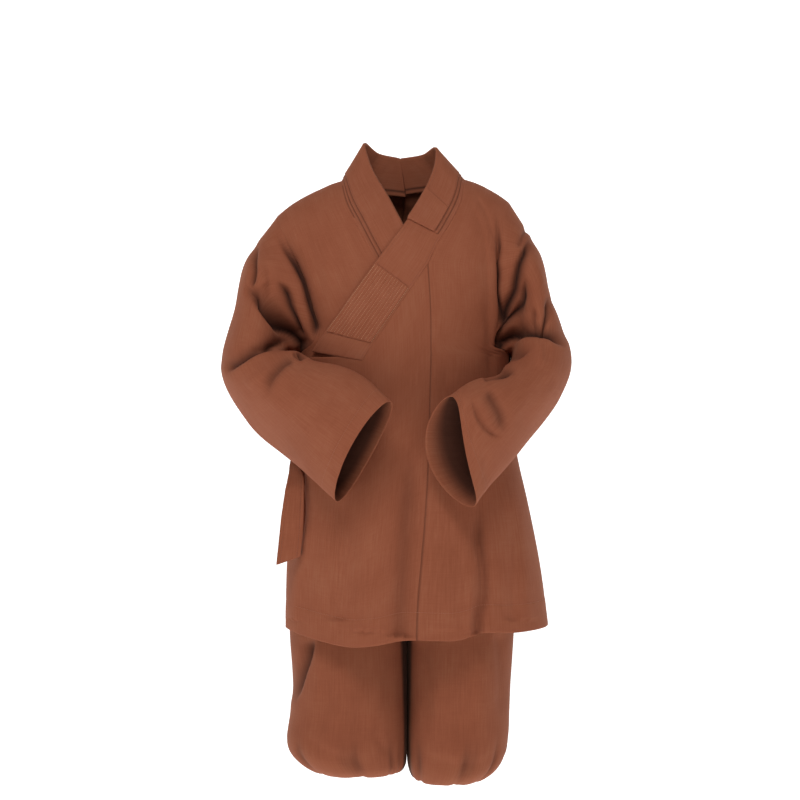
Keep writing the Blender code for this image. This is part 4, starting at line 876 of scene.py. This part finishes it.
# Each leg is half an oval at the hips that closes into a tube at the crotch
trousers = {
    "crotch": -0.760,
    "riseTop": -0.500,         # where the rise seams start to curve towards the crotch
    "right": table("height outer inner front back", [
        (-0.410, -0.166, -0.083, 0.112, 0.112), (-0.500, -0.178, -0.090, 0.120, 0.122),
        (-0.600, -0.192, -0.050, 0.124, 0.126), (-0.680, -0.2040, -0.020, 0.119, 0.121),
        (-0.760, -0.2102, 0.0034, 0.110, 0.112), (-0.830, -0.2090, 0.0034, 0.108, 0.110),
        (-0.900, -0.2060, 0.0034, 0.110, 0.113), (-0.960, -0.2080, 0.0034, 0.112, 0.115),
        (-1.010, -0.2150, 0.0034, 0.113, 0.116), (-1.038, -0.2090, 0.0030, 0.108, 0.111),
        (-1.060, -0.1880, 0.0010, 0.098, 0.100), (-1.0730, -0.1620, -0.0110, 0.078, 0.080),
        (-1.0680, -0.1450, -0.0450, 0.060, 0.060), (-1.0450, -0.1400, -0.0500, 0.054, 0.054),
    ]),
    "left": table("height outer inner front back", [
        (-0.410, 0.166, 0.083, 0.112, 0.112), (-0.500, 0.178, 0.090, 0.120, 0.122),
        (-0.600, 0.192, 0.050, 0.124, 0.126), (-0.680, 0.200, 0.020, 0.120, 0.122),
        (-0.760, 0.2010, 0.0027, 0.114, 0.116), (-0.830, 0.1970, 0.0027, 0.112, 0.114),
        (-0.900, 0.1930, 0.0027, 0.112, 0.115), (-0.960, 0.1900, 0.0027, 0.113, 0.116),
        (-1.010, 0.1880, 0.0027, 0.114, 0.117), (-1.044, 0.1830, 0.0030, 0.110, 0.113),
        (-1.070, 0.1660, 0.0062, 0.100, 0.103), (-1.0860, 0.1400, 0.0140, 0.080, 0.080),
        (-1.0810, 0.1140, 0.0240, 0.058, 0.058), (-1.0580, 0.1040, 0.0230, 0.050, 0.050),
    ]),
    "columns": 104,
    "rows": 150,
    "apart": 16 * mm,        # by which one leg's inner line lies in front of the other's
    "gathers": {"count": 8, "height": 5.5 * mm, "top": -0.985, "full": -1.060},
    "uneven": {"seed": 51, "height": 0.6 * mm, "shortest": 26 * mm, "longest": 150 * mm, "spread": 0.8},
    "waist": (-0.370, -0.4095),
}
legFolds = {
    "right": [
        {"line": [(-168, -832), (-174, -866), (-186, -900), (-196, -935), (-201, -955)], "depth": 12,
         "left": 4,
         "right": 15, "sharp": 1.4, "fade": (0.15, 0.3)},
        {"line": [(-150, -820), (-156, -900), (-170, -980)], "depth": -3, "left": 12, "right": 14},
        {"line": [(-60, -820), (-70, -900), (-84, -1000), (-90, -1050)], "depth": 4, "left": 18, "right": 18,
         "fade": (0.1, 0.3)},
        {"line": [(-20, -830), (-30, -900), (-34, -980)], "depth": 3, "left": 10, "right": 12},
        {"line": [(-110, -840), (-120, -930), (-128, -1030)], "depth": -3.5, "left": 20, "right": 20},
        {"line": [(-195, -1000), (-160, -1030), (-120, -1050), (-70, -1052)], "depth": 3, "left": 9,
         "right": 12},
        {"line": [(-60, -1000), (-40, -1030), (-22, -1050)], "depth": 3, "left": 8, "right": 9},
    ],
    "left": [
        {"line": [(30, -835), (38, -920), (44, -1010)], "depth": 3.5, "left": 12, "right": 14,
         "fade": (0.1, 0.4)},
        {"line": [(90, -820), (96, -900), (100, -1000), (98, -1050)], "depth": 4, "left": 18, "right": 18,
         "fade": (0.1, 0.3)},
        {"line": [(130, -830), (138, -920), (140, -1020)], "depth": -3.5, "left": 18, "right": 18},
        {"line": [(170, -820), (176, -900), (172, -1000)], "depth": 4.5, "left": 12, "right": 10,
         "fade": (0.1, 0.4)},
        {"line": [(30, -1040), (80, -1062), (140, -1060), (176, -1030)], "depth": 3, "left": 9, "right": 12},
        {"line": [(60, -850), (66, -940), (64, -1030)], "depth": -2.5, "left": 16, "right": 16},
    ],
}
backLegFolds = [
    {"line": [(-150, -780), (-140, -880), (-120, -1010)], "depth": 7, "left": 12, "right": 16, "sharp": 1.6,
     "fade": (0.1, 0.4)},
    {"line": [(-70, -800), (-60, -900), (-70, -1030)], "depth": 6, "left": 14, "right": 14,
     "fade": (0.1, 0.4)},
    {"line": [(60, -790), (72, -900), (60, -1030)], "depth": 7, "left": 14, "right": 14, "sharp": 1.6,
     "fade": (0.1, 0.4)},
    {"line": [(150, -780), (140, -900), (150, -1030)], "depth": 5, "left": 14, "right": 14,
     "fade": (0.1, 0.4)},
    {"line": [(-110, -880), (-100, -960), (-104, -1050)], "depth": -4, "left": 16, "right": 16},
    {"line": [(100, -880), (104, -960), (98, -1050)], "depth": -4, "left": 16, "right": 16},
    {"line": [(-180, -930), (-110, -955), (-40, -940)], "depth": 4, "left": 9, "right": 14},
    {"line": [(40, -950), (110, -968), (170, -940)], "depth": 4, "left": 9, "right": 14},
]


def makeLeg(name, sideName, side, material):
    # sections at each height read from the table: a half oval, (outer * sin, depth * cos), that
    # turns into a whole one as the rise closes, moved out by its folds and gathers
    levels = trousers[sideName]
    count = len(levels["height"])
    coarse = np.linspace(0, count - 1, 400)
    path = np.stack([readSmooth(coarse, np.arange(count), levels[c]) for c in ("outer", "height")], axis=-1)
    chord = np.append(0, np.linalg.norm(np.diff(path, axis=0), axis=1).cumsum())
    index = np.interp(np.linspace(0, chord[-1], trousers["rows"]), chord, coarse)
    read = {c: readSmooth(index, np.arange(count), levels[c])[:, None] for c in levels}
    turn = np.linspace(0, 1, trousers["columns"])
    down = np.clip((trousers["riseTop"] - read["height"]) / (trousers["riseTop"] - trousers["crotch"]), 0, 1)
    closed = 1 - np.sqrt(1 - down**2)
    halfDepth = np.where(turn < 0.5, read["front"], read["back"])
    middle, reach = (read["outer"] + read["inner"]) / 2, (read["outer"] - read["inner"]) / 2
    hips = (read["outer"] * np.sin(math.pi * turn), -halfDepth * np.cos(math.pi * turn))
    tube = (middle - reach * np.cos(2 * math.pi * turn), -halfDepth * np.sin(2 * math.pi * turn))
    x, y = (h + (t - h) * closed for h, t in zip(hips, tube))
    z = np.broadcast_to(read["height"], x.shape)
    points = np.stack([x, y, z], axis=-1)
    normals = gridNormals(points)
    centre = np.stack([middle[:, 0], np.zeros(len(index)), read["height"][:, 0]], axis=-1)
    if np.sum(normals * (points - centre[:, None])) < 0:
        normals = -normals
    seam = (normals[:, 0] + normals[:, -1]) / 2
    for column in (0, -1):
        openSeam = normals[:, column] * (0, 1, 1)
        normals[:, column] = openSeam + (seam - openSeam) * closed
    normals /= np.linalg.norm(normals, axis=-1, keepdims=True)
    gathers, uneven = trousers["gathers"], trousers["uneven"]
    facing = ease((-normals[..., 1] + 0.2) / 0.4)
    away = ease(np.minimum(turn, 1 - turn) / 0.04) * (z < body["armpit"])
    # the folds of the front, and the painted shade in the deep ones
    out, paintedShade = (f * facing for f in foldShapes(*asSeen(points), legFolds[sideName]))
    out = out + foldHeight(x, z, backLegFolds) * (1 - facing)
    out = out * ease((-0.60 - z) / 0.1) * away
    out += unevenness(turn * 0.55 + 0 * z, -z, uneven["seed"] + side, uneven["shortest"], uneven["longest"],
                      uneven["spread"]) * uneven["height"] * away
    grow = ease((gathers["top"] - z) / (gathers["top"] - gathers["full"]))
    phase = 2 * math.pi * gathers["count"] * turn + 1.3 * np.sin(4 * math.pi * turn + side)
    inside = ease((index - 9)[:, None] / 2)
    narrow = np.exp(-(np.sin(phase / 2) / 0.30) ** 2) + 0.45 * np.exp(-(np.sin(phase * 0.31 + 2) / 0.22) ** 2)
    out -= gathers["height"] * grow * narrow * (1 - 0.5 * inside) * away
    fromInner = np.minimum(turn, 1 - turn)
    innerLine = np.exp(-(fromInner / 0.058) ** 2)
    # painted shade: in the gathers at the hem, and a dark strip along the inner line where the legs meet
    shadeReach = 0.036 + 0.024 * ease((z + 1.03) / 0.2)
    paintedShade = np.maximum(paintedShade, 0.5 * grow * narrow * away * (1 - inside))
    paintedShade = np.maximum(paintedShade, (1 - ease((fromInner - shadeReach) / 0.022)) * closed)
    points = points + normals * out[..., None]
    points[..., 1] += side * trousers["apart"] * innerLine * closed
    points[:, 0, 0] += side * -0.1 * mm
    points[:, -1, 0] += side * -0.1 * mm
    fine = gridNormals(points)
    turned = 1 if np.sum(fine * normals) > 0 else -1
    piece = clothPiece(name, points, cloth["thickness"], material, turn=turned,
                       paintedShade=paintedShade)
    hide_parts(name)
    return {"piece": piece, "points": points, "normals": fine * turned}


def makeWaistband(material):
    turn = np.linspace(0, 2 * math.pi, 120, endpoint=False)
    half, depth = abs(trousers["right"]["outer"][0]), trousers["right"]["front"][0]
    z = np.linspace(trousers["waist"][1] - 1 * mm, trousers["waist"][0], 16)[:, None] * np.ones(len(turn))
    ripple = 0.8 * mm * np.sin(46 * turn) * np.sin(math.pi * np.linspace(0, 1, 16))[:, None]
    outer = np.stack([(half + ripple) * np.cos(turn), (depth + ripple) * np.sin(turn), z], axis=-1)
    inward = np.array([1, 1, 0]) * cloth["thickness"] / np.array([half, depth, 1])
    piece = clothPiece("waistband", outer, cloth["thickness"], material, closedRound=True,
                       inner=outer * (1 - inward))
    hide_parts("waistband")
    return piece


tie = {
    "path": table("x y z turn half drop", [
        (-0.1985, -0.066, -0.5086, 0.80, 0.0095, 0), (-0.1945, -0.089, -0.540, 0.50, 0.0160, 0),
        (-0.1970, -0.100, -0.575, 0.30, 0.0180, 0), (-0.2005, -0.104, -0.625, 0.20, 0.0205, 0.0020),
        (-0.2060, -0.105, -0.683, 0.15, 0.0210, 0.0075),
    ]),
    "backEnd": (0.0045, 0.88),
    "knot": table("x height", [(-0.2010, -0.5080), (-0.1810, -0.4720)]),
    "rise": 0.0145,
    "thickness": 2.0 * mm,
}


def makeTieEnd(name, back, share, material):
    # a flat strip along the tie's middle line, as wide as its table says, bent a little across
    rows, columns = 90, 15
    at = np.linspace(0, share, rows)
    shares = np.linspace(0, 1, len(tie["path"]["x"]))
    read = {c: readSmooth(at, shares, tie["path"][c])[:, None] for c in tie["path"]}
    side = np.linspace(-1, 1, columns) * read["half"]
    bend = 1.6 * mm * (1 - np.linspace(-1, 1, columns) ** 2) * np.sin(at * 9 + 0.6)[:, None]
    wave = 0.8 * mm * np.sin(at * 21 + 2 * back / mm)[:, None]
    out = np.stack([-np.sin(read["turn"]), -np.cos(read["turn"]), 0 * read["turn"]], axis=-1)
    x = read["x"] + side * np.cos(read["turn"])
    y = read["y"] - side * np.sin(read["turn"]) + back
    z = read["z"] + side * read["drop"] / read["half"]
    outer = np.stack([x, y, z], axis=-1) + out * (bend + wave)[..., None]
    edge = np.minimum(np.arange(columns), np.arange(columns)[::-1]) * 0.0025
    seamed = puckers(edge - 0.003, at[:, None] * 0.2, 9 * mm, 0.15 * mm, 4 * mm)
    outer = outer + out * seamed[..., None]
    piece = clothPiece(name, outer, tie["thickness"], material,
                       inner=outer - out * tie["thickness"])
    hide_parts(name)
    return {"piece": piece, "points": outer, "normals": np.broadcast_to(out, outer.shape)}


def makeKnot(material):
    # a swelling on the overlap's edge, wrapped by a band: the dome dips on both sides of a belt
    even = np.sin(np.linspace(-1, 1, 41) * math.pi / 2)
    across, up = np.meshgrid(even, even)
    corners = tie["knot"]
    x = corners["x"].mean() + across * np.ptp(corners["x"]) / 2
    z = corners["height"].mean() + up * np.ptp(corners["height"]) / 2
    dome = (np.maximum(1 - across**2, 0) * np.maximum(1 - up**4, 0)) ** 0.4
    slant = up + 0.35 * across
    belt = 0.12 * (np.exp(-(slant / 0.3) ** 4) - np.exp(-((np.abs(slant) - 0.42) / 0.1) ** 2))
    folds = 0.04 * np.sin(across * 9 + up * 3) * np.abs(up)
    base, normals = bodySurface(x, z, np.zeros(x.shape), True)
    lift = (1.8 * mm + tie["rise"] * np.clip(dome * (0.88 + belt + folds), 0, 1))[..., None]
    piece = clothPiece("tie_knot", base + normals * lift, cloth["thickness"], material,
                       inner=base + normals * 0.3 * mm)
    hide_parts("tie_knot")
    return piece


# Materials: sRGB colours, and patterns sized in mm on the pieces' own cut maps
def linear(code):
    # an sRGB hex colour as linear red, green and blue
    values = [int(code[i:i + 2], 16) / 255 for i in (0, 2, 4)]
    return [c / 12.92 if c <= 0.04045 else ((c + 0.055) / 1.055) ** 2.4 for c in values] + [1]


def addNode(material, kind, links=None, **settings):
    # one node with its settings and the sockets or values that feed it
    nodes = material.node_tree
    node = nodes.nodes.new(kind)
    for name, value in settings.items():
        setattr(node, name, value)
    for name, source in (links or {}).items():
        socket = node.inputs[name]
        if isinstance(source, bpy.types.NodeSocket):
            nodes.links.new(source, socket)
        else:
            socket.default_value = source
    return node


cottonLook = {
    "roughness": 0.88,
    "sheen": 0.12,
    "threadWidth": 1.1 * mm,     # real threads are 0.4 mm wide; drawn coarser so that they show
    "threadLength": 16 * mm,     # over which one keeps its thickness
    "slubWidth": 2.2 * mm,       # of the thicker threads' faint streaks
    "slubLength": 55 * mm,
    "mottle": 90 * mm,           # of the uneven dye
    "paintedShade": "2E140C",          # colour of the painted shade in deep folds, beside seams and steps and inside the sleeves
}


def cottonCloth(name, middle, light, dark, slub=1.0):
    # plain-woven cotton dyed in the piece: matt, with a soft nap, faint slub streaks both ways
    # and an uneven dye, and threads that show as a fine cross grain
    material = bpy.data.materials.new(name)
    material.use_nodes = True
    nodes = material.node_tree.nodes
    shader = nodes["Principled BSDF"]
    link = material.node_tree.links.new
    cut = addNode(material, "ShaderNodeUVMap", uv_map="cut").outputs["UV"]
    look = cottonLook

    def noise(width, length, detail):
        stretched = addNode(material, "ShaderNodeMapping",
                            {"Vector": cut, "Scale": (1 / width, 1 / length, 1)})
        return addNode(material, "ShaderNodeTexNoise", {"Vector": stretched.outputs["Vector"], "Scale": 1.0,
                       "Detail": detail, "Roughness": 0.6}, noise_dimensions="2D").outputs["Fac"]

    warp = noise(look["slubWidth"], look["slubLength"], 3)
    weft = noise(look["slubLength"] * 0.6, look["slubWidth"], 3)
    mottle = noise(look["mottle"], look["mottle"], 4)
    grain = noise(1.1 * mm, 1.1 * mm, 2)
    streaks = addNode(material, "ShaderNodeMix", {"Factor": 0.30, 2: warp, 3: weft},
                      data_type="FLOAT").outputs[0]
    spread = addNode(material, "ShaderNodeMix", {"Factor": 0.42, 2: streaks, 3: mottle},
                     data_type="FLOAT").outputs[0]
    ramp = addNode(material, "ShaderNodeValToRGB", {"Fac": spread})
    ramp.color_ramp.elements[0].position = 0.34
    ramp.color_ramp.elements[0].color = linear(dark)
    ramp.color_ramp.elements[1].position = 0.66
    ramp.color_ramp.elements[1].color = linear(light)
    ramp.color_ramp.elements.new(0.5).color = linear(middle)
    # painted shade: the base colour is mixed towards the shade colour by the points' painted shade
    paintedShade = addNode(material, "ShaderNodeAttribute", attribute_name="paintedShade").outputs["Fac"]
    shaded = addNode(material, "ShaderNodeMix",
                     {"Factor": paintedShade, 6: ramp.outputs["Color"], 7: linear(look["paintedShade"])},
                     data_type="RGBA").outputs[2]
    link(shaded, shader.inputs["Base Color"])
    threads = [noise(look["threadWidth"], look["threadLength"], 2),
               noise(look["threadLength"], look["threadWidth"], 2)]
    weave = addNode(material, "ShaderNodeMath", {0: threads[0], 1: threads[1]},
                    operation="MAXIMUM").outputs[0]
    relief = addNode(material, "ShaderNodeMath", {0: streaks, 1: 0.8 * slub, 2: weave},
                     operation="MULTIPLY_ADD").outputs[0]
    bump = addNode(material, "ShaderNodeBump", {"Height": relief, "Strength": 0.5, "Distance": 0.3 * mm})
    link(bump.outputs["Normal"], shader.inputs["Normal"])
    rough = addNode(material, "ShaderNodeMapRange", {"Value": grain, "To Min": look["roughness"] - 0.05,
                    "To Max": look["roughness"] + 0.05})
    link(rough.outputs["Result"], shader.inputs["Roughness"])
    shader.inputs["Sheen Weight"].default_value = look["sheen"]
    shader.inputs["Sheen Roughness"].default_value = 0.5
    shader.inputs["Sheen Tint"].default_value = linear("E2A582")
    shader.inputs["Specular IOR Level"].default_value = 0.25
    return material


def sewingThread(name, colour):
    # polyester thread: smooth, a little brighter than the cloth it is sewn through
    material = bpy.data.materials.new(name)
    material.use_nodes = True
    shader = material.node_tree.nodes["Principled BSDF"]
    place = addNode(material, "ShaderNodeTexCoord").outputs["Object"]
    twist = addNode(material, "ShaderNodeTexNoise", {"Vector": place, "Scale": 1 / (2 * mm), "Detail": 1.0})
    shade = addNode(material, "ShaderNodeMix", {"Factor": twist.outputs["Fac"], 6: linear(colour[0]),
                    7: linear(colour[1])}, data_type="RGBA")
    material.node_tree.links.new(shade.outputs[2], shader.inputs["Base Color"])
    shader.inputs["Roughness"].default_value = 0.55
    return material


robeCotton = cottonCloth("red brown cotton", "8F5037", "95583E", "884A31")
collarCotton = cottonCloth("pressed red brown cotton", "915239", "965940", "8A4C33", 0.6)
trouserCotton = cottonCloth("red brown trouser cotton", "8B4D34", "91553B", "84472F")
darkThread = sewingThread("brown thread", ("5E2F1F", "6B3826"))
hemThread = sewingThread("red brown thread", ("A5694D", "9A5E44"))
lightThread = sewingThread("light brown thread", ("D9A27C", "C08A66"))
print("materials made")

# The jacket's panels
centre = fineLine(seams["centre"], 80)
leftEdge = seamAngles(joined(centre, fineLine(seams["leftNeck"], 60)), True, -seams["lap"] / 4)
rightEdge = seamAngles(joined(seams["underEdge"], fineLine(seams["rightNeck"], 60)), True)
leftCentre = seamAngles(backStart(seams["leftNeck"]["x"][-1]), False, -seams["lap"] / 4)
rightCentre = seamAngles(backStart(seams["rightNeck"]["x"][-1]), False, seams["lap"] / 4)
leftSide = sideAngles(fineLine(seams["leftArmhole"], 60), 1)
rightSide = sideAngles(fineLine(seams["rightArmhole"], 60), -1)
leftFront = bodyPanel("left_front", 88, leftEdge, leftSide, True, 0.0, robeCotton)
rightFront = bodyPanel("right_front", 62, rightEdge, rightSide, True, cloth["underLayer"], robeCotton)
leftBack = bodyPanel("left_back", 60, leftCentre, leftSide, False, backHeight, robeCotton)
rightBack = bodyPanel("right_back", 60, rightCentre, rightSide, False, backHeight, robeCotton)

overlapShape = {"closing": -1.36, "diagonal": 76, "side": 44, "rows": 176}


def makeOverlap(material):
    # the overlap, from the centre seam round to its edge, up to the collar's diagonal
    start = seamAngles(centre, True, seams["lap"] / 4)
    closing = overlapShape["closing"]
    end = collar["overEnd"]
    first = start(rowAt(end[0], end[1], True))
    bend = (angleAt(*end) - first) / (closing - first)
    share = np.concatenate([np.linspace(0, bend, overlapShape["diagonal"]),
                            np.linspace(bend, 1, overlapShape["side"])[1:]])
    corner = collar["overlapCorner"]
    topX = (corner[0] - 0.05, corner[0], end[0] - 6 * mm, end[0], seams["centre"]["x"][-1])
    topZ = (corner[1] + 9 * mm, corner[1] + 9 * mm, end[1] + 6 * mm, end[1], seams["centre"]["height"][-1])
    closingAngle = lambda row: np.full(np.shape(row), closing)
    top = np.full(share.shape, 1.0)
    for _ in range(30):
        x, _ = panelDomain(top[None], share, start, closingAngle, True)
        top = rowAt(x[0], np.interp(x[0], topX, topZ), True)
    rows = np.linspace(0, 1, overlapShape["rows"])[:, None] * top
    x, z = panelDomain(rows, share, start, closingAngle, True)
    points, normals = bodySurface(x, z, np.zeros(x.shape), True)
    # painted shade in the deep folds and along the centre seam's edge
    paintedShade = foldShapes(*asSeen(points), bodyFolds["front"])[1]
    paintedShade[:, 0] = np.maximum(paintedShade[:, 0], seams["shade"])
    piece = clothPiece("overlap_front", points, cloth["thickness"], material, paintedShade=paintedShade,
                       turn=1 if np.sum(gridNormals(points) * normals) > 0 else -1)
    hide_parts("overlap_front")
    return {"piece": piece, "points": points, "normals": normals, "x": x, "z": z}


overlap = makeOverlap(robeCotton)
rightSleeve = makeSleeve("right_sleeve", "right", rightFront, rightBack, robeCotton)
leftSleeve = makeSleeve("left_sleeve", "left", leftFront, leftBack, robeCotton)
print("jacket panels and sleeves made")


def startEdge(panel, low):
    # a panel's start edge from a row up to the shoulder, as x and height, top first
    keep = allRows() >= low - 1e-6
    return panel["x"][keep, 0][::-1], panel["z"][keep, 0][::-1]


neckRow = seams["backNeck"]["row"][0]
diagonal = (overlap["x"][-1, :overlapShape["diagonal"]], overlap["z"][-1, :overlapShape["diagonal"]])
edges = {
    "over": bandStations([e[::-1] for e in startEdge(leftBack, neckRow)],
                         startEdge(leftFront, seams["centreRow"]),
                         diagonal),
    "under": bandStations([e[::-1] for e in startEdge(rightBack, neckRow)],
                          startEdge(rightFront, seams["underBandRow"])),
}
bandFaces = (0.9 * mm, -2.0 * mm)
middleFaces = (2.1 * mm, 0.85 * mm)
topFaces = (3.3 * mm, 2.05 * mm)
patchFaces = (4.5 * mm, 3.25 * mm)
quiltFaces = (1.7 * mm, 0.8 * mm)
for side in ("over", "under"):
    end = collar["bandsEnd"][side]
    layers = (0, collar["layersEnd"][side])
    raised = 0.6 * mm if side == "under" else 0.0      # clear of the folds of the under front
    bandPiece(f"collar_{side}_band", edges[side], side, (0, end),
                            np.linspace(collar["lap"], 1, 30),
                            (bandFaces[0] + raised, bandFaces[1]), collarCotton, shade=(0.1, layers[1]))
    bandPiece(f"collar_{side}_middle_layer", edges[side], side, layers,
                                       np.linspace(0.1, 1, 26),
                                       (middleFaces[0] + raised, middleFaces[1] + raised),
                                       collarCotton, shade=(0.2, layers[1]))
    bandPiece(f"collar_{side}_top_layer", edges[side], side, layers,
                                    np.append(np.linspace(0.2, 0.98, 22), (0.986, 0.992, 1.0, 1.012)),
                                    (topFaces[0] + raised, topFaces[1] + raised), collarCotton, wrap=True)
patch = bandPiece("collar_patch", edges["over"], "over", collar["patch"], np.linspace(0.21, 1.02, 24),
                  patchFaces,
                  collarCotton, steps=22)
ribColumn = np.arange(6 * collar["ribs"] + 1)
ribRelief = collar["ribHeight"] * np.sqrt(np.abs(np.sin(math.pi * ribColumn / 6)))
quiltShares = collar["quiltEdge"] + (1 - 2 * collar["quiltEdge"]) * ribColumn / ribColumn[-1]
quilting = bandPiece("collar_quilting", edges["over"], "over", collar["quilted"], quiltShares, quiltFaces,
                     collarCotton, relief=ribRelief, steps=60)
knot = makeKnot(robeCotton)
tieFront = makeTieEnd("tie_front_end", 0.0, 1.0, robeCotton)
tieBack = makeTieEnd("tie_back_end", *tie["backEnd"], robeCotton)
rightLeg = makeLeg("trousers_right_leg", "right", -1, trouserCotton)
leftLeg = makeLeg("trousers_left_leg", "left", 1, trouserCotton)
waistband = makeWaistband(trouserCotton)
print("collar, tie and trousers made")


# Sewing
def bodyPath(x, z, front, lift):
    points, normals = bodySurface(x, z, np.full(np.shape(x), lift), front)
    return points, normals


def bandPath(side, share, span, lift, steps=160):
    points, normals = bandSurface(edges[side], side, np.linspace(*span, steps),
                                  np.array([share - 0.01, share]),
                                  np.full((steps, 2), lift))
    return points[:, 1], normals[:, 1]


lift = sewing["lift"]
hemX = np.linspace(-0.1935, 0.2525, 400)
hemPaths = [bodyPath(hemX, hemHeight(hemX, True) + body["hemDepth"], True, 0.1 * mm)]
backX = np.linspace(-0.205, 0.2525, 400)
hemPaths.append(bodyPath(backX, hemHeight(backX, False) + body["hemDepth"], False,
                         backHeight(backX) + 0.1 * mm))
stitches("hem_sewing", hemPaths, hemThread)
cuffPaths = []
for tube in (rightSleeve, leftSleeve):
    row = 1 + int(np.argmin(np.abs(tube["fromCuff"][:, 0] - sleeves["cuffHem"])))
    ring = np.append(tube["points"][row], tube["points"][row][:1], axis=0)
    ringNormals = np.append(tube["normals"][row], tube["normals"][row][:1], axis=0)
    cuffPaths.append((ring + ringNormals * 0.1 * mm, ringNormals))
stitches("cuff_sewing", cuffPaths, hemThread)
over3, under3 = collar["bandsEnd"]["over"], collar["bandsEnd"]["under"]
layersOver, layersUnder = collar["layersEnd"]["over"], collar["layersEnd"]["under"]
collarPaths = [
    bandPath("over", 0.015, (0.02, over3 - 0.01), bandFaces[0]),
    bandPath("over", 0.94, (layersOver + 0.02, over3 - 0.01), bandFaces[0]),
    bandPath("over", 0.94, (0.02, layersOver - 0.2), topFaces[0]),
    bandPath("over", 0.125, (0.02, layersOver - 0.01), middleFaces[0]),
    bandPath("over", 0.225, (0.02, layersOver - 0.01), topFaces[0]),
    bandPath("under", 0.015, (0.02, under3 - 0.01), bandFaces[0] + raised),
    bandPath("under", 0.125, (0.02, layersUnder - 0.01), middleFaces[0] + raised),
    bandPath("under", 0.225, (0.02, layersUnder - 0.01), topFaces[0] + raised),
]
stitches("collar_sewing", collarPaths, darkThread)
quiltSpan = (collar["quilted"][0] + 0.005, collar["quilted"][1] - 0.005)
quiltPaths = [bandPath("over", share, quiltSpan, quiltFaces[0] + 0.1 * mm, 60) for share in quiltShares[::6]]
stitches("quilting_sewing", quiltPaths, lightThread, 2.1)
tieEdges = []
for column in (2, -3):
    tieEdges.append((tieFront["points"][:, column] + tieFront["normals"][:, column] * 0.1 * mm,
                     tieFront["normals"][:, column]))
tieSewing = stitches("tie_sewing", tieEdges, darkThread)
print("sewing made")
# A pale floor that curves up behind, soft light from high in front, and the photograph's camera
stage = {"floor": -1.46, "front": -7.0, "bend": 2.4, "back": 4.2, "top": 4.5, "half": 9.0}


def makeStage():
    # a floor, a quarter circle and a wall, carried across
    radius = stage["back"] - stage["bend"]
    turn = np.linspace(0, math.pi / 2, 24)
    y = np.concatenate([[stage["front"]], stage["bend"] + radius * np.sin(turn), [stage["back"]]])
    z = np.concatenate([[stage["floor"]], stage["floor"] + radius * (1 - np.cos(turn)), [stage["top"]]])
    x = np.array([-stage["half"], stage["half"]])
    points = np.stack([np.broadcast_to(x, (len(y), 2)), np.broadcast_to(y[:, None], (len(y), 2)),
                       np.broadcast_to(z[:, None], (len(y), 2))], axis=-1)
    index = np.arange(2 * len(y)).reshape(-1, 2)
    faces = np.stack([index[:-1, 0], index[:-1, 1], index[1:, 1], index[1:, 0]], axis=-1)
    mesh = bpy.data.meshes.new("studio_floor")
    mesh.from_pydata(points.reshape(-1, 3).tolist(), [], faces.tolist())
    mesh.shade_smooth()
    paper = bpy.data.materials.new("pale studio paper")
    paper.use_nodes = True
    shader = paper.node_tree.nodes["Principled BSDF"]
    shader.inputs["Base Color"].default_value = linear("F4F3F1")
    shader.inputs["Roughness"].default_value = 0.9
    shader.inputs["Emission Color"].default_value = linear("FFFFFF")
    shader.inputs["Emission Strength"].default_value = 0.75
    mesh.materials.append(paper)
    floor = bpy.data.objects.new("studio_floor", mesh)
    bpy.context.scene.collection.objects.link(floor)


def addLight(name, place, aim, size, power):
    light = bpy.data.lights.new(name, "AREA")
    light.shape = "RECTANGLE"
    light.size, light.size_y = size
    light.energy = power
    lamp = bpy.data.objects.new(name, light)
    lamp.location = place
    toward = np.array(aim) - np.array(place)
    flat = math.hypot(toward[0], toward[1])
    lamp.rotation_euler = (math.atan2(flat, -toward[2]), 0, math.atan2(-toward[0], toward[1]))
    bpy.context.scene.collection.objects.link(lamp)


makeStage()
addLight("key above the front", (-0.5, -2.5, 2.8), (0, 0, -0.45), (2.2, 1.2), 82)
addLight("soft left", (-3.2, -1.8, 0.2), (0, 0, -0.5), (1.6, 2.4), 9)
addLight("soft right", (3.2, -2.0, 0.2), (0, 0, -0.5), (1.6, 2.4), 9)
world = bpy.data.worlds.new("studio")
world.use_nodes = True
world.node_tree.nodes["Background"].inputs["Color"].default_value = (1, 1, 1, 1)
world.node_tree.nodes["Background"].inputs["Strength"].default_value = 0.15
bpy.context.scene.world = world
bpy.context.scene.view_settings.view_transform = "Standard"

camera = bpy.data.objects.new("camera", bpy.data.cameras.new("camera"))
camera.data.lens = eye["lens"]
camera.data.sensor_width = 36
camera.location = (eye["x"], -eye["distance"], eye["z"])
camera.rotation_euler = (math.pi / 2, 0, 0)
bpy.context.scene.collection.objects.link(camera)
bpy.context.scene.camera = camera
